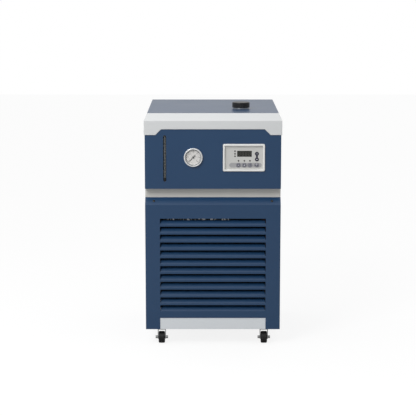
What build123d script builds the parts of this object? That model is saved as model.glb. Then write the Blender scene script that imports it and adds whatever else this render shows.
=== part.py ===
from build123d import *
import math
import os

# A floor-standing recirculating chiller: a louvred sheet-metal cabinet on four swivel casters.
# The lower half holds the refrigeration set and the pump, the upper half the insulated reservoir.
# The front carries a level sight tube, a pressure gauge and a recessed controller with six keys.
# Frame: +Z up, the front faces -Y, and the origin lies on the floor under the middle of the chiller.
# A depth is counted back from the face of the front panels, a rise or a drop from what it names.

# Casing, in millimetres
casing_width = 450.0
casing_depth = 500.0
top_height = 780.0
hood_height = 23.0
sheet = 1.2
flange = 15.0
seam = 0.5
bend_radius = 2.0

# Hood and visor
side_bevel = 7.65
front_bevel = 30.6
visor_wall = 2.5
visor_lobe_drop = 47.0
visor_band_drop = 28.0
visor_lobe_width = 38.0
visor_return = 70.0
hood_lip = 14.0

# Waist and front panels
setback = 23.0
panel_tongue = 17.0
rail_ledge = 30.0
grille_shoulder = 477.0
waist_opening = 31.0
notch_side = 48.0
notch_rise = 39.0

# Louvres
louvre_pitch = 26.8
louvre_drop = 46.2
louvre_foot = 12.0
louvre_window = 20.4
louvre_side = 49.0
louvre_depth = 13.0
louvre_angle = 45.0
louvre_taper = 4.0

# Base
tray_sheet = 2.0
tray_wall_height = 47.0

# Side and rear vents
vent_slot_length = 130.0
vent_slot_width = 6.0
vent_pitch = 18.0
vent_rows = 6
vent_columns = 2
vent_column_gap = 20.0
vent_rise = 77.0
rear_vent_rise = 187.0

# Screws
screw_head_radius = 4.5
screw_head_height = 2.6
screw_radius = 2.0
screw_length = 9.0
screw_inset = 29.0
screw_clearance = 0.2
thread_fit = 0.05
side_screw_rise = 23.0
side_screw_inset = 60.0
rear_screw_drop = 27.0
rear_screw_inset = 7.5
rear_screw_length = 4.0

# Pressure gauge
gauge_offset = 94.0
gauge_rise = 6.0
gauge_bezel_radius = 31.0
gauge_flange_radius = 28.4
gauge_case_radius = 27.4
gauge_window_radius = 26.8
gauge_bore_radius = 26.0
gauge_proud = 8.0
gauge_lens_thickness = 2.0
gauge_seat = 2.0
gauge_bezel_slope = 2.0
gauge_boss_radius = 9.0
gauge_case_depth = 30.0
gauge_dial_depth = 1.0
gauge_dial_thickness = 1.0
gauge_stem_radius = 6.5
gauge_stem_length = 14.0
gauge_line_run = 20.0
gauge_line_drop = 46.0
gauge_tap_rise = 69.0
gauge_tap_sink = 1.0
pointer_length = 21.0
pointer_tail = 9.0
pointer_tail_width = 3.6
pointer_root_width = 2.2
pointer_tip_width = 0.7
pointer_hub_radius = 3.0
pointer_thickness = 0.8
pointer_lift = 1.0
pointer_arbor_length = 9.0
pointer_zero_angle = 225.0
pointer_arbor_radius = 1.0
pointer_clearance = 0.1

# Level sight tube
level_side = 66.0
level_slot_width = 10.0
level_slot_rise = 24.0
level_slot_drop = 48.0
level_tube_radius = 6.0
level_tube_bore = 4.5
level_axis_depth = 10.0
level_low_rise = 1.0
level_high_rise = 7.0
level_float_radius = 4.1
float_gap = 0.3
elbow_wall = 2.0
elbow_step = 2.0
elbow_grip = 8.0
elbow_arm_radius = 5.0
elbow_bore = 3.0
elbow_throat = 2.4

# Controller
controller_side = 123.0
controller_rise = 5.3
controller_width = 138.4
controller_height = 91.0
controller_corner = 5.0
controller_proud = 5.0
controller_rim = 6.0
controller_wall = 2.0
controller_recess = 8.0
controller_edge = 1.2
controller_box_depth = 42.0
controller_ledge = 1.5
cable_hole_radius = 6.0
plate_thickness = 2.0
plate_gap = 0.2
plate_relief = 0.4
strip_left = 15.5
strip_right = 4.5
strip_height = 15.2
arrow_bar_width = 5.8
boss_radius = 2.5
boss_inset = 7.0
board_gap = 7.0
board_thickness = 1.6
switch_width = 6.0
switch_height = 1.5
display_x = 2.0
display_z = 12.2
display_width = 48.3
display_height = 19.8
display_set_in = 0.4
display_flange = 2.0
display_flange_thickness = 1.0
key_proud = 0.9
key_edge = 0.6
key_travel = 0.6
key_clearance = 0.25
key_gap = 0.3
key_collar = 1.2
key_collar_thickness = 1.0
key_stem_radius = 2.0
lamp_radius = 1.3
lamp_proud = 0.5
lower_key_z = -25.7
key_places = {
    "key_up": (43.0, 12.2, 6.3),
    "key_down": (43.0, -6.5, 6.3),
    "key_set": (-17.6, lower_key_z, 5.2),
    "key_pump": (1.5, lower_key_z, 5.2),
    "key_cooling": (20.0, lower_key_z, 5.2),
    "key_power": (42.5, lower_key_z, 5.2),
}
lamp_places = [(-29.3, 20.9), (-29.3, 12.2), (-29.3, 4.0), (-17.6, -11.1), (1.5, -11.1), (20.0, -11.1)]

# Filler
filler_inset = 34.5
filler_depth = 175.0
neck_radius = 25.0
neck_bore = 21.0
neck_height_above_top = 16.0
neck_flange_radius = 32.0
neck_flange_thickness = 3.0
neck_gap = 1.0
lid_hole_gap = 3.0
cap_radius = 29.5
cap_height = 18.0
cap_lift_off = 4.0
cap_clearance = 0.4
cap_edge = 1.5
cap_flutes = 30
cap_flute_radius = 1.2

# Reservoir
tank_wall = 1.5
tank_side_gap = 18.8
pipe_lane_room = 78.8
tank_front = 95.0
tank_rear_gap = 115.0
tank_lid_gap = 7.0
tank_corner = 8.0
foam_wall = 15.0
tank_outlet_radius = 8.0

# Evaporator coil in the reservoir
coil_runs = 4
coil_pitch = 56.0
coil_inset = 30.0
coil_tube_radius = 5.0
coil_gap = 40.0
coil_above_floor = 40.0
coil_tail = 6.0

# Condenser and fan
condenser_side_gap = 58.8
condenser_front = 45.0
condenser_thickness = 36.0
condenser_foot = 11.0
condenser_headroom = 95.0
fin_pitch = 6.0
fin_sheet = 1.2
fin_web = 3.0
end_plate = 1.5
end_plate_overhang = 5.0
tube_stub = 0.5
return_bend_count = 5
shroud_depth = 42.0
shroud_wall = 2.0
fan_radius = 118.0
fan_tip_gap = 6.0
fan_hub_radius = 34.0
fan_hub_length = 24.0
fan_hub_setback = 14.0
fan_blades = 5
fan_root_chord = 34.0
fan_tip_chord = 58.0
fan_root_pitch = 42.0
fan_tip_pitch = 22.0
fan_blade_thickness = 2.0
fan_root_sink = 2.0
fan_tip_sink = 2.0
fan_shaft_radius = 4.0
fan_shaft_clearance = 0.1
fan_shaft_end_gap = 2.0
fan_ring_depth = 16.0
fan_motor_edge = 3.0
fan_motor_flange = 3.0
fan_motor_radius = 38.0
fan_motor_length = 46.0
fan_motor_gap = 4.0
fan_arm_width = 14.0
fan_arm_thickness = 5.0
fan_arms = 4

# Compressor
compressor_side_gap = 128.8
compressor_depth = 330.0
compressor_radius = 72.0
compressor_height = 195.0
compressor_dome = 26.0
compressor_seam = 3.0
compressor_foot = 3.0
compressor_foot_half = 80.0
grommet_radius = 11.0
grommet_height = 15.0
grommet_inset = 14.0
grommet_waist = 3.0
stub_radius = 5.5
discharge_stub_offset = 30.0
discharge_stub_rise = 10.0
discharge_rise = 45.0
suction_stub_rise = 95.0
suction_stub_reach = 16.0

# Pump
pump_side_gap = 73.8
pump_depth = 275.0
pump_axis_height = 60.0
pump_volute_radius = 42.0
pump_volute_length = 34.0
pump_motor_radius = 38.0
pump_motor_length = 92.0
pump_nozzle_radius = 8.0
pump_nozzle_length = 14.0
pump_foot_thickness = 4.0
pump_foot_half = 30.0

# Copper pipes and hoses
pipe_radius = 4.0
pipe_bend = 14.0
hose_radius = 11.0
hose_bend = 32.0
gauge_hose_radius = 4.0
gauge_hose_bend = 13.0
drier_radius = 11.0
drier_length = 90.0
drier_neck_wall = 1.0
drier_depth = 200.0
grommet_gap = 2.0
suction_run = 29.0
riser_gap = 50.0
port_bend = 14.0
crossing_rise = 129.0
pipe_lane_gap = 28.8
pipe_lane_setback = 40.0
suction_pipe_offset = 50.0

# Rear ports
port_reach = 30.0
port_thread_radius = 10.5
port_hex_width = 27.0
port_hex_thickness = 6.0
port_bore = 7.0
port_hole_gap = 0.3
port_tail_length = 14.0
port_lead = 1.5
drain_plug_radius = 8.0
drain_plug_height = 8.0
port_rise = 10.0
port_pitch = 90.0
drain_rise = 125.0
gland_side = 75.0
gland_radius = 10.0
gland_bore = 4.5
gland_lip = 1.0
gland_dome = 13.0

# Casters
caster_side = 52.5
caster_inset = 42.0
caster_trail = 17.0
wheel_radius = 20.0
wheel_width = 21.0
wheel_bore = 3.1
wheel_side_gap = 1.0
wheel_recess = 3.0
wheel_edge = 2.5
wheel_hub_radius = 7.0
wheel_rim_inner = 15.0
wheel_dish_slope = 1.0
fork_sheet = 2.0
fork_headroom = 6.6
fork_top_radius = 17.0
fork_leg_radius = 7.0
fork_heel = 6.0
axle_radius = 3.0
axle_head_radius = 4.6
axle_reach = 21.0
kingpin_radius = 4.0
kingpin_gap = 0.15
caster_plate_x = 50.0
caster_plate_y = 42.0
caster_plate_thickness = 2.0
caster_plate_corner = 4.0
race_radius = 15.0
race_thickness = 2.0
race_gap = 0.4
kingpin_head_radius = 7.0
kingpin_head_thickness = 2.0

# How far a cut runs past a face, and how far a rough body runs past the one that trims it
over = 1.0
overrun = 100.0

# Planes and places that follow from the sizes above
front = (gauge_proud - casing_depth - port_reach) / 2
back = front + casing_depth
half_width = casing_width / 2
inner_half = half_width - sheet
fork_top = 2 * wheel_radius + fork_headroom + fork_sheet
race_bottom = fork_top + race_gap
skirt_height = race_bottom + race_thickness + caster_plate_thickness
kingpin_bottom = fork_top - fork_sheet - race_gap - kingpin_head_thickness
caster_x = half_width - caster_side
tray_floor = skirt_height + tray_sheet
tray_rim = skirt_height + tray_wall_height
waist_face = front + setback
upper_panel_bottom = grille_shoulder + setback + waist_opening
shelf_top = upper_panel_bottom + sheet
shoulder_height = top_height - hood_height
visor_lobe_bottom = shoulder_height - visor_lobe_drop
visor_band_bottom = shoulder_height - visor_band_drop
instrument_middle = (upper_panel_bottom + visor_band_bottom) / 2
notch_half_width = half_width - notch_side
notch_top = skirt_height + notch_rise
louvre_top = grille_shoulder - louvre_drop
louvre_half_width = half_width - louvre_side
louvre_count = int((louvre_top - notch_top - louvre_foot) // louvre_pitch)
side_screw_height = skirt_height + side_screw_rise
level_x = level_side - half_width
level_y = front + level_axis_depth
level_slot_bottom = upper_panel_bottom + level_slot_rise
level_slot_top = shoulder_height - level_slot_drop
level_low = level_slot_bottom + level_low_rise
level_high = level_slot_top + level_high_rise
gauge_x = level_x + gauge_offset
gauge_z = instrument_middle + gauge_rise
gauge_line_y = front + gauge_case_depth + gauge_stem_length + gauge_line_run
controller_x = half_width - controller_side
controller_z = instrument_middle + controller_rise
plate_face = front - controller_proud + controller_recess
plate_back = plate_face + plate_thickness
board_face = plate_back + board_gap
tank_low_x = tank_side_gap + foam_wall - inner_half
tank_high_x = inner_half - pipe_lane_room - foam_wall
tank_low_y = front + tank_front
tank_high_y = back - tank_rear_gap
tank_bottom = shelf_top + foam_wall
tank_top = shoulder_height - tank_lid_gap - foam_wall
filler_x = tank_high_x - filler_inset
filler_y = front + filler_depth
neck_top = top_height + neck_height_above_top
coil_first_x = tank_low_x + coil_inset
coil_z = tank_bottom + tank_wall + coil_above_floor
coil_end_y = tank_high_y + foam_wall + coil_tail
condenser_half_width = inner_half - condenser_side_gap
condenser_low_y = front + condenser_front
condenser_high_y = condenser_low_y + condenser_thickness
condenser_bottom = tray_floor + condenser_foot
condenser_top = upper_panel_bottom - condenser_headroom
tube_y = (condenser_low_y + condenser_high_y) / 2
fan_z = (condenser_bottom + condenser_top) / 2
fan_hub_back = condenser_high_y + fan_hub_setback + fan_hub_length
compressor_x = inner_half - compressor_side_gap
compressor_y = front + compressor_depth
compressor_base = tray_floor + grommet_height + compressor_foot
discharge_stub_top = compressor_base + compressor_height + discharge_stub_rise
suction_stub_z = tray_floor + suction_stub_rise
suction_stub_end = compressor_x - compressor_radius - suction_stub_reach
pipe_lane_x = inner_half - pipe_lane_gap
pipe_lane_y = tank_high_y + pipe_lane_setback
drier_low = front + drier_depth
pump_x = pump_side_gap - inner_half
pump_y = front + pump_depth
pump_z = tray_floor + pump_axis_height
pump_inlet_y = pump_y - pump_volute_length / 2 - pump_nozzle_length
pump_outlet_z = pump_z + pump_volute_radius + pump_nozzle_length
suction_y = pump_inlet_y - suction_run
suction_pipe_x = pump_x + suction_pipe_offset
riser_y = back - riser_gap
supply_x = pump_x
return_x = supply_x + port_pitch
drain_x = return_x
port_z = instrument_middle + port_rise
port_tail_y = back - sheet - port_tail_length
drain_z = tray_floor + drain_rise
gland_x = half_width - gland_side
gland_z = drain_z


def block(x, y, z):
    """A box between the limits x, y and z, each a pair of low and high."""
    limits = (x, y, z)
    size = [high - low for low, high in limits]
    centre = [(high + low) / 2 for low, high in limits]
    return Pos(*centre) * Box(*size)


def along_x(sketch, x0, x1):
    """A sketch drawn in Y and Z, solid from x0 to x1."""
    return extrude(Plane.YZ.offset(x0) * sketch, x1 - x0, dir=(1, 0, 0))


def along_y(sketch, y0, y1):
    """A sketch drawn in X and Z as seen from the front, solid from y0 back to y1."""
    return extrude(Plane.XZ.offset(-y0) * sketch, y1 - y0, dir=(0, 1, 0))


def along_z(sketch, z0, z1):
    """A sketch drawn in X and Y, solid from z0 up to z1."""
    return extrude(Plane.XY.offset(z0) * sketch, z1 - z0, dir=(0, 0, 1))


def polygon(*points):
    """A face with those corners, left where they are."""
    return Polygon(*points, align=None)


def rod_y(x, z, radius, y0, y1):
    """A round bar along Y."""
    return along_y(Pos(x, z) * Circle(radius), y0, y1)


def rod_z(x, y, radius, z0, z1):
    """A round bar along Z."""
    return along_z(Pos(x, y) * Circle(radius), z0, z1)


def turned_y(profile, x, z):
    """A profile of radius and Y, turned about the Y axis through x and z."""
    face = Plane(origin=(0, 0, 0), x_dir=(1, 0, 0), z_dir=(0, 0, 1)) * profile
    return Pos(x, 0, z) * revolve(face, Axis.Y)


def turned_z(profile, x, y):
    """A profile of radius and Z, turned about the Z axis through x and y."""
    return Pos(x, y, 0) * revolve(Plane.XZ * profile, Axis.Z)


def pipe(points, bends, radius):
    """A round tube along straight runs joined by tangent arcs, one bend radius for each corner."""
    path = FilletPolyline(*points, radius=bends)
    start = Plane(origin=path @ 0, z_dir=path % 0)
    return sweep(start * Circle(radius), path=path)


def capped_shell(side, proud, wall):
    """The hollow cap over the casing's shoulders: bevelled at the front and at both sides."""
    skirt = shoulder_height - overrun
    behind = back + overrun
    profile = polygon(
        (front - proud, skirt),
        (front - proud, shoulder_height),
        (front + front_bevel, top_height),
        (behind, top_height),
        (behind, skirt),
    )
    section = polygon(
        (-side, skirt),
        (-side, shoulder_height),
        (side_bevel - half_width, top_height),
        (half_width - side_bevel, top_height),
        (side, shoulder_height),
        (side, skirt),
    )
    outer = along_x(profile, -side, side) & along_y(section, front - proud, behind)
    inner_profile = offset(profile, amount=-wall)
    inner_section = offset(section, amount=-wall)
    inner = along_x(inner_profile, -side, side) & along_y(inner_section, front - proud, behind)
    return outer - inner


def make_front_visor():
    """The white moulded visor: a bevelled brow whose lobes drop at the corners and wrap round both sides."""
    side = half_width + visor_wall
    shell = capped_shell(side, visor_wall, visor_wall)
    lobe = side - visor_lobe_width
    rise = visor_band_bottom - visor_lobe_bottom
    face = polygon(
        (-side, visor_lobe_bottom),
        (-lobe, visor_lobe_bottom),
        (rise - lobe, visor_band_bottom),
        (lobe - rise, visor_band_bottom),
        (lobe, visor_lobe_bottom),
        (side, visor_lobe_bottom),
        (side, top_height),
        (-side, top_height),
    )
    wrap = polygon(
        (front, visor_lobe_bottom),
        (front + visor_return - rise, visor_lobe_bottom),
        (front + visor_return, visor_band_bottom),
        (front + visor_return, shoulder_height),
        (front + front_bevel, shoulder_height),
        (front + front_bevel, top_height),
        (front, top_height),
    )
    keep = along_y(face, front - visor_wall, front) + along_x(wrap, -side, side)
    panels = block((-half_width, half_width), (front, back), (visor_lobe_bottom - over, shoulder_height))
    return (shell & keep) - panels


def make_top_cover():
    """The blue folded hood behind the visor, with lips that rest on the side and rear panels."""
    shell = capped_shell(half_width, 0, sheet)
    room = block(
        (-half_width, half_width),
        (front + front_bevel, back),
        (shoulder_height, top_height),
    )
    hood = shell & room
    lip_z = (shoulder_height, shoulder_height + sheet)
    for side in (-1, 1):
        edge = sorted((side * half_width, side * (half_width - hood_lip)))
        hood += block(edge, (front + front_bevel, back), lip_z)
    rear_section = polygon(
        (-half_width, shoulder_height),
        (side_bevel - half_width, top_height),
        (half_width - side_bevel, top_height),
        (half_width, shoulder_height),
    )
    hood += along_y(rear_section, back - sheet, back)
    hole = rod_z(filler_x, filler_y, neck_radius + neck_gap, shoulder_height, top_height + over)
    return hood - hole


def slot_field(centre, first, columns, rows):
    """Rows of round-ended vent slots as flat faces: centre of the field across, first row's height."""
    faces = Sketch()
    step = vent_slot_length + vent_column_gap
    for column in range(columns):
        across = centre + (column - (columns - 1) / 2) * step
        for row in range(rows):
            up = first + row * vent_pitch
            faces += Pos(across, up) * SlotOverall(vent_slot_length, vent_slot_width)
    return faces


def make_side_panel(side):
    """A blue side panel: one sheet folded inwards at its front, rear and top edges, with vent slots."""
    low, high = waist_face + sheet, back - sheet
    above_tray = (tray_rim + seam, shoulder_height)
    reach = (half_width - flange, half_width)
    panel = block((inner_half, half_width), (low, high), (skirt_height, shoulder_height))
    panel += block(reach, (low, low + sheet), above_tray)
    panel += block(reach, (high - sheet, high), above_tray)
    panel += block(reach, (low, high), (shoulder_height - sheet, shoulder_height))
    vents = slot_field((low + high) / 2, skirt_height + vent_rise, vent_columns, vent_rows)
    cuts = along_x(vents, inner_half - over, half_width + over)
    for y in side_screw_places():
        hole = Pos(y, side_screw_height) * Circle(screw_radius + screw_clearance)
        cuts += along_x(hole, inner_half - over, half_width + over)
    for x, z in rear_screw_places():
        if x > 0 and z > tray_rim:
            cuts += rod_y(x, z, screw_radius + thread_fit, high - sheet - over, high + over)
    panel -= cuts
    return panel if side > 0 else mirror(panel, Plane.YZ)


def side_screw_places():
    """The screws along the foot of a side panel: their places in Y."""
    return [waist_face + side_screw_inset, back - side_screw_inset]


def rear_screw_places():
    """The screws of the rear panel, at its foot, middle and head: their places in X and Z."""
    across = half_width - rear_screw_inset
    head = shoulder_height - rear_screw_drop
    heights = (side_screw_height, (side_screw_height + head) / 2, head)
    return [(x, z) for x in (-across, across) for z in heights]


def rear_holes():
    """The round holes of the rear panel: place and radius."""
    port = port_thread_radius + port_hole_gap
    gland = gland_radius + port_hole_gap
    return [
        (supply_x, port_z, port),
        (return_x, port_z, port),
        (drain_x, drain_z, port),
        (gland_x, gland_z, gland),
    ]


def make_rear_panel():
    """The flat blue rear panel, with vents, the port and drain holes and the cable gland's hole."""
    panel = block((-half_width, half_width), (back - sheet, back), (skirt_height, shoulder_height))
    vents = slot_field(0, skirt_height + rear_vent_rise, vent_columns, vent_rows)
    cuts = along_y(vents, back - sheet - over, back + over)
    for x, z, radius in rear_holes():
        cuts += rod_y(x, z, radius, back - sheet - over, back + over)
    for x, z in rear_screw_places():
        cuts += rod_y(x, z, screw_radius + screw_clearance, back - sheet - over, back + over)
    return panel - cuts


def folded_pan(section, cavity):
    """A front panel folded as a pan open to the back, from the Y and Z faces of its body and its hollow."""
    body = along_x(section, -half_width, half_width)
    upright = [edge for edge in body.edges().filter_by(Axis.Z) if abs(edge.center().Y - front) < 0.01]
    body = fillet(upright, bend_radius)
    return body - along_x(cavity, -inner_half, inner_half)


def make_upper_front_panel():
    """The blue instrument panel: a pan with the sight slot, the gauge hole and the controller's cut-out."""
    top = shoulder_height - sheet
    rear = waist_face - seam
    section = polygon(
        (front, upper_panel_bottom),
        (front, top),
        (rear, top),
        (rear, upper_panel_bottom),
    )
    cavity = polygon(
        (front + sheet, shelf_top),
        (front + sheet, top + over),
        (rear + over, top + over),
        (rear + over, shelf_top),
    )
    panel = folded_pan(section, cavity)
    tongue_half = half_width - flange - seam
    tongue = (rear - over, waist_face + panel_tongue)
    panel += block((-tongue_half, tongue_half), tongue, (upper_panel_bottom, shelf_top))
    slot_height = level_slot_top - level_slot_bottom
    slot = SlotOverall(slot_height, level_slot_width, rotation=90)
    cuts = Pos(level_x, level_slot_bottom + slot_height / 2) * slot
    cuts += Pos(gauge_x, gauge_z) * Circle(gauge_case_radius + port_hole_gap)
    cuts += controller_rectangle(controller_rim - controller_wall - port_hole_gap, 0)
    return panel - along_y(cuts, front - over, front + sheet + over)


def louvre_blade(z):
    """One louvre: the metal of its window, bent inwards and up along the window's lower edge at height z."""
    slope = math.radians(louvre_angle)
    length = louvre_depth / math.cos(slope)
    face = polygon(
        (-louvre_half_width, 0),
        (louvre_half_width, 0),
        (louvre_half_width - louvre_taper, length),
        (louvre_taper - louvre_half_width, length),
    )
    inward = (0, math.sin(slope), -math.cos(slope))
    plane = Plane(origin=(0, front, z), x_dir=(1, 0, 0), z_dir=tuple(-part for part in inward))
    return extrude(plane * face, sheet, dir=inward)


def slope_screw_places():
    """Where the two screws of the grille's sloping top go, Z axis out of the slope."""
    middle = setback / 2
    across = half_width - screw_inset
    return [
        Plane(origin=(x, front + middle, grille_shoulder + middle), z_dir=(0, -1, 1)).location
        for x in (-across, across)
    ]


def make_grille_panel():
    """The louvred lower front panel: a pan with a sloping top, its louvres and a notch over the base."""
    rear = waist_face - seam
    run = rear - front
    slope_inside = grille_shoulder - sheet * math.sqrt(2)
    section = polygon(
        (front, skirt_height),
        (front, grille_shoulder),
        (rear, grille_shoulder + run),
        (rear, skirt_height),
    )
    cavity = polygon(
        (front + sheet, skirt_height - over),
        (front + sheet, slope_inside + sheet),
        (rear + over, slope_inside + run + over),
        (rear + over, skirt_height - over),
    )
    panel = folded_pan(section, cavity)
    cuts = Sketch()
    for row in range(louvre_count):
        middle = louvre_top - row * louvre_pitch - louvre_window / 2
        cuts += Pos(0, middle) * Rectangle(2 * louvre_half_width, louvre_window)
    cuts += polygon(
        (-notch_half_width, skirt_height - over),
        (notch_half_width, skirt_height - over),
        (notch_half_width, notch_top),
        (-notch_half_width, notch_top),
    )
    panel -= along_y(cuts, front - over, front + sheet + over)
    for row in range(louvre_count):
        panel += louvre_blade(louvre_top - row * louvre_pitch - louvre_window)
    for place in slope_screw_places():
        panel -= place * Cylinder(screw_radius + screw_clearance, 4 * sheet)
    return panel


def make_waist_rail():
    """The white rail in the recess between the front panels: a folded sheet that both panels fix to."""
    face = waist_face
    inner_face = face + sheet
    slope_top = grille_shoulder + setback - sheet * math.sqrt(2)
    slope_under = slope_top - sheet * math.sqrt(2)
    run = setback - 3 * sheet
    slope = polygon(
        (face, slope_top),
        (face - run, slope_top - run),
        (face - run, slope_under - run),
        (face, slope_under),
    )
    top = upper_panel_bottom
    rail = along_x(slope, -inner_half, inner_half)
    rail += block((-half_width, half_width), (face, inner_face), (slope_under, top))
    ledge_half = half_width - flange - seam
    rail += block((-ledge_half, ledge_half), (face, face + rail_ledge), (top - sheet, top))
    for place in slope_screw_places():
        rail -= place * Cylinder(screw_radius + thread_fit, 2 * screw_length)
    return rail


def make_base_tray():
    """The white base: a folded tray that carries the whole chiller and shows in the grille's notch."""
    low, high = front + sheet, back - sheet
    tray = block((-inner_half, inner_half), (low, high), (skirt_height, tray_rim))
    room = block(
        (tray_sheet - inner_half, inner_half - tray_sheet),
        (low + tray_sheet, high - tray_sheet),
        (tray_floor, tray_rim + over),
    )
    tray -= room
    for y in side_screw_places():
        hole = Pos(y, side_screw_height) * Circle(screw_radius + thread_fit)
        tray -= along_x(hole, -inner_half - over, inner_half + over)
    for x, z in rear_screw_places():
        if z < tray_rim:
            tray -= rod_y(x, z, screw_radius + thread_fit, high - tray_sheet - over, high + over)
    return tray


def shelf_holes():
    """The holes that pipes and hoses take through the shelf: place and radius."""
    pipe_hole = pipe_radius + grommet_gap
    hose_hole = hose_radius + grommet_gap
    return [
        (pump_x, suction_y, hose_hole),
        (pump_x, riser_y, hose_hole),
        (gauge_x, gauge_line_y, gauge_hose_radius + grommet_gap),
        (pipe_lane_x, pipe_lane_y, pipe_hole),
        (suction_pipe_x, pipe_lane_y, pipe_hole),
    ]


def make_mid_shelf():
    """The shelf that carries the reservoir: a sheet on the waist rail, turned down along both side panels."""
    low, high = waist_face + panel_tongue + seam, back - 2 * sheet
    shelf = block((-inner_half, inner_half), (low, high), (upper_panel_bottom, shelf_top))
    for side in (-1, 1):
        edge = sorted((side * inner_half, side * (inner_half - sheet)))
        shelf += block(edge, (low, high), (upper_panel_bottom - flange, shelf_top))
    for x, y, radius in shelf_holes():
        shelf -= rod_z(x, y, radius, upper_panel_bottom - over, shelf_top + over)
    return shelf


def screw(length):
    """A screw along Z: the shank goes down from the origin and the tapering head stands on it."""
    profile = polygon(
        (0, -length),
        (screw_radius, -length),
        (screw_radius, 0),
        (screw_head_radius, 0),
        (screw_head_radius - screw_head_height / 2, screw_head_height),
        (0, screw_head_height),
    )
    return revolve(Plane.XZ * profile, Axis.Z)


def make_panel_screws():
    """All screws of the casing: two on the slope, two at each side's foot and six on the rear panel."""
    screws = [place * screw(screw_length) for place in slope_screw_places()]
    for y in side_screw_places():
        for side in (-1, 1):
            plane = Plane(origin=(side * half_width, y, side_screw_height), z_dir=(side, 0, 0))
            screws.append(plane.location * screw(screw_length))
    for x, z in rear_screw_places():
        plane = Plane(origin=(x, back, z), z_dir=(0, 1, 0))
        screws.append(plane.location * screw(rear_screw_length))
    return Compound(children=screws)


def make_gauge_case():
    """The gauge's black cup, its hexagonal stem behind and the boss that the dial sits on."""
    depth = front + gauge_case_depth
    lens_back = front - gauge_seat
    wall = gauge_case_radius - gauge_bore_radius
    profile = polygon(
        (0, front + gauge_dial_depth + gauge_dial_thickness),
        (gauge_boss_radius, front + gauge_dial_depth + gauge_dial_thickness),
        (gauge_boss_radius, depth - wall),
        (gauge_bore_radius, depth - wall),
        (gauge_bore_radius, lens_back),
        (gauge_flange_radius, lens_back),
        (gauge_flange_radius, front),
        (gauge_case_radius, front),
        (gauge_case_radius, depth),
        (0, depth),
    )
    case = turned_y(profile, gauge_x, gauge_z)
    hexagon = Pos(gauge_x, gauge_z) * RegularPolygon(gauge_stem_radius, 6)
    case += along_y(hexagon, depth - over, depth + gauge_stem_length)
    bore = pointer_arbor_radius + pointer_clearance
    return case - rod_y(gauge_x, gauge_z, bore, front, front + pointer_arbor_length + over)


def make_gauge_bezel():
    """The gauge's light moulded ring: it holds the lens against the case and rests on the panel."""
    lens_front = front - gauge_seat - gauge_lens_thickness
    face = front - gauge_proud
    seat = gauge_flange_radius + thread_fit
    profile = polygon(
        (gauge_window_radius, face + gauge_bezel_slope),
        (gauge_window_radius + gauge_bezel_slope / 2, face),
        (gauge_bezel_radius - gauge_bezel_slope, face),
        (gauge_bezel_radius, face + gauge_bezel_slope),
        (gauge_bezel_radius, front),
        (seat, front),
        (seat, lens_front),
        (gauge_window_radius, lens_front),
    )
    return turned_y(profile, gauge_x, gauge_z)


def make_gauge_lens():
    """The gauge's clear disc."""
    low = front - gauge_seat - gauge_lens_thickness
    return rod_y(gauge_x, gauge_z, gauge_flange_radius, low, low + gauge_lens_thickness)


def make_gauge_dial():
    """The gauge's white face, a thin disc with a hole for the pointer's arbor."""
    low = front + gauge_dial_depth
    disc = rod_y(gauge_x, gauge_z, gauge_bore_radius - seam, low, low + gauge_dial_thickness)
    hole = pointer_arbor_radius + pointer_clearance
    return disc - rod_y(gauge_x, gauge_z, hole, low - over, low + gauge_dial_thickness + over)


def make_gauge_pointer():
    """The gauge's black pointer at zero: a tapering needle with a broad tail, on its arbor."""
    needle = polygon(
        (-pointer_tail, -pointer_tail_width / 2),
        (0, -pointer_root_width / 2),
        (pointer_length, -pointer_tip_width / 2),
        (pointer_length, pointer_tip_width / 2),
        (0, pointer_root_width / 2),
        (-pointer_tail, pointer_tail_width / 2),
    )
    shape = Rot(0, 0, pointer_zero_angle) * needle
    shape += Circle(pointer_hub_radius)
    low = front - pointer_lift
    pointer = along_y(Pos(gauge_x, gauge_z) * shape, low, low + pointer_thickness)
    return pointer + rod_y(gauge_x, gauge_z, pointer_arbor_radius, low, front + pointer_arbor_length)


def make_level_tube():
    """The clear sight tube behind the slot, standing between its two elbows."""
    wall = Circle(level_tube_radius) - Circle(level_tube_bore)
    return along_z(Pos(level_x, level_y) * wall, level_low + elbow_step, level_high - elbow_step)


def make_level_elbows():
    """The two black elbows that hold the sight tube and lead it back into the reservoir."""
    socket = level_tube_radius + elbow_wall
    end = tank_low_y + tank_wall
    elbows = []
    for z, up in ((level_low, 1), (level_high, -1)):
        span = sorted((z - up * socket, z + up * (elbow_step + elbow_grip)))
        body = rod_z(level_x, level_y, socket, *span)
        body += rod_y(level_x, z, elbow_arm_radius, level_y, end)
        seat = sorted((z + up * elbow_step, z + up * (elbow_step + elbow_grip + over)))
        body -= rod_z(level_x, level_y, level_tube_radius + thread_fit, *seat)
        channel = sorted((z, z + up * (elbow_step + over)))
        body -= rod_z(level_x, level_y, elbow_throat, *channel)
        body -= rod_y(level_x, z, elbow_bore, level_y - elbow_bore, end + over)
        elbows.append(body)
    return Compound(children=elbows)


def make_level_float():
    """The black ball that floats in the sight tube, shown at its lowest place."""
    seat = math.sqrt(level_float_radius**2 - elbow_throat**2)
    z = level_low + elbow_step + seat + float_gap
    return Pos(level_x, level_y, z) * Sphere(level_float_radius)


def controller_rectangle(inset, corner):
    """The controller's outline in X and Z, moved in on all sides by inset."""
    width = controller_width - 2 * inset
    height = controller_height - 2 * inset
    outline = RectangleRounded(width, height, corner) if corner > 0 else Rectangle(width, height)
    return Pos(controller_x, controller_z) * outline


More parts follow.
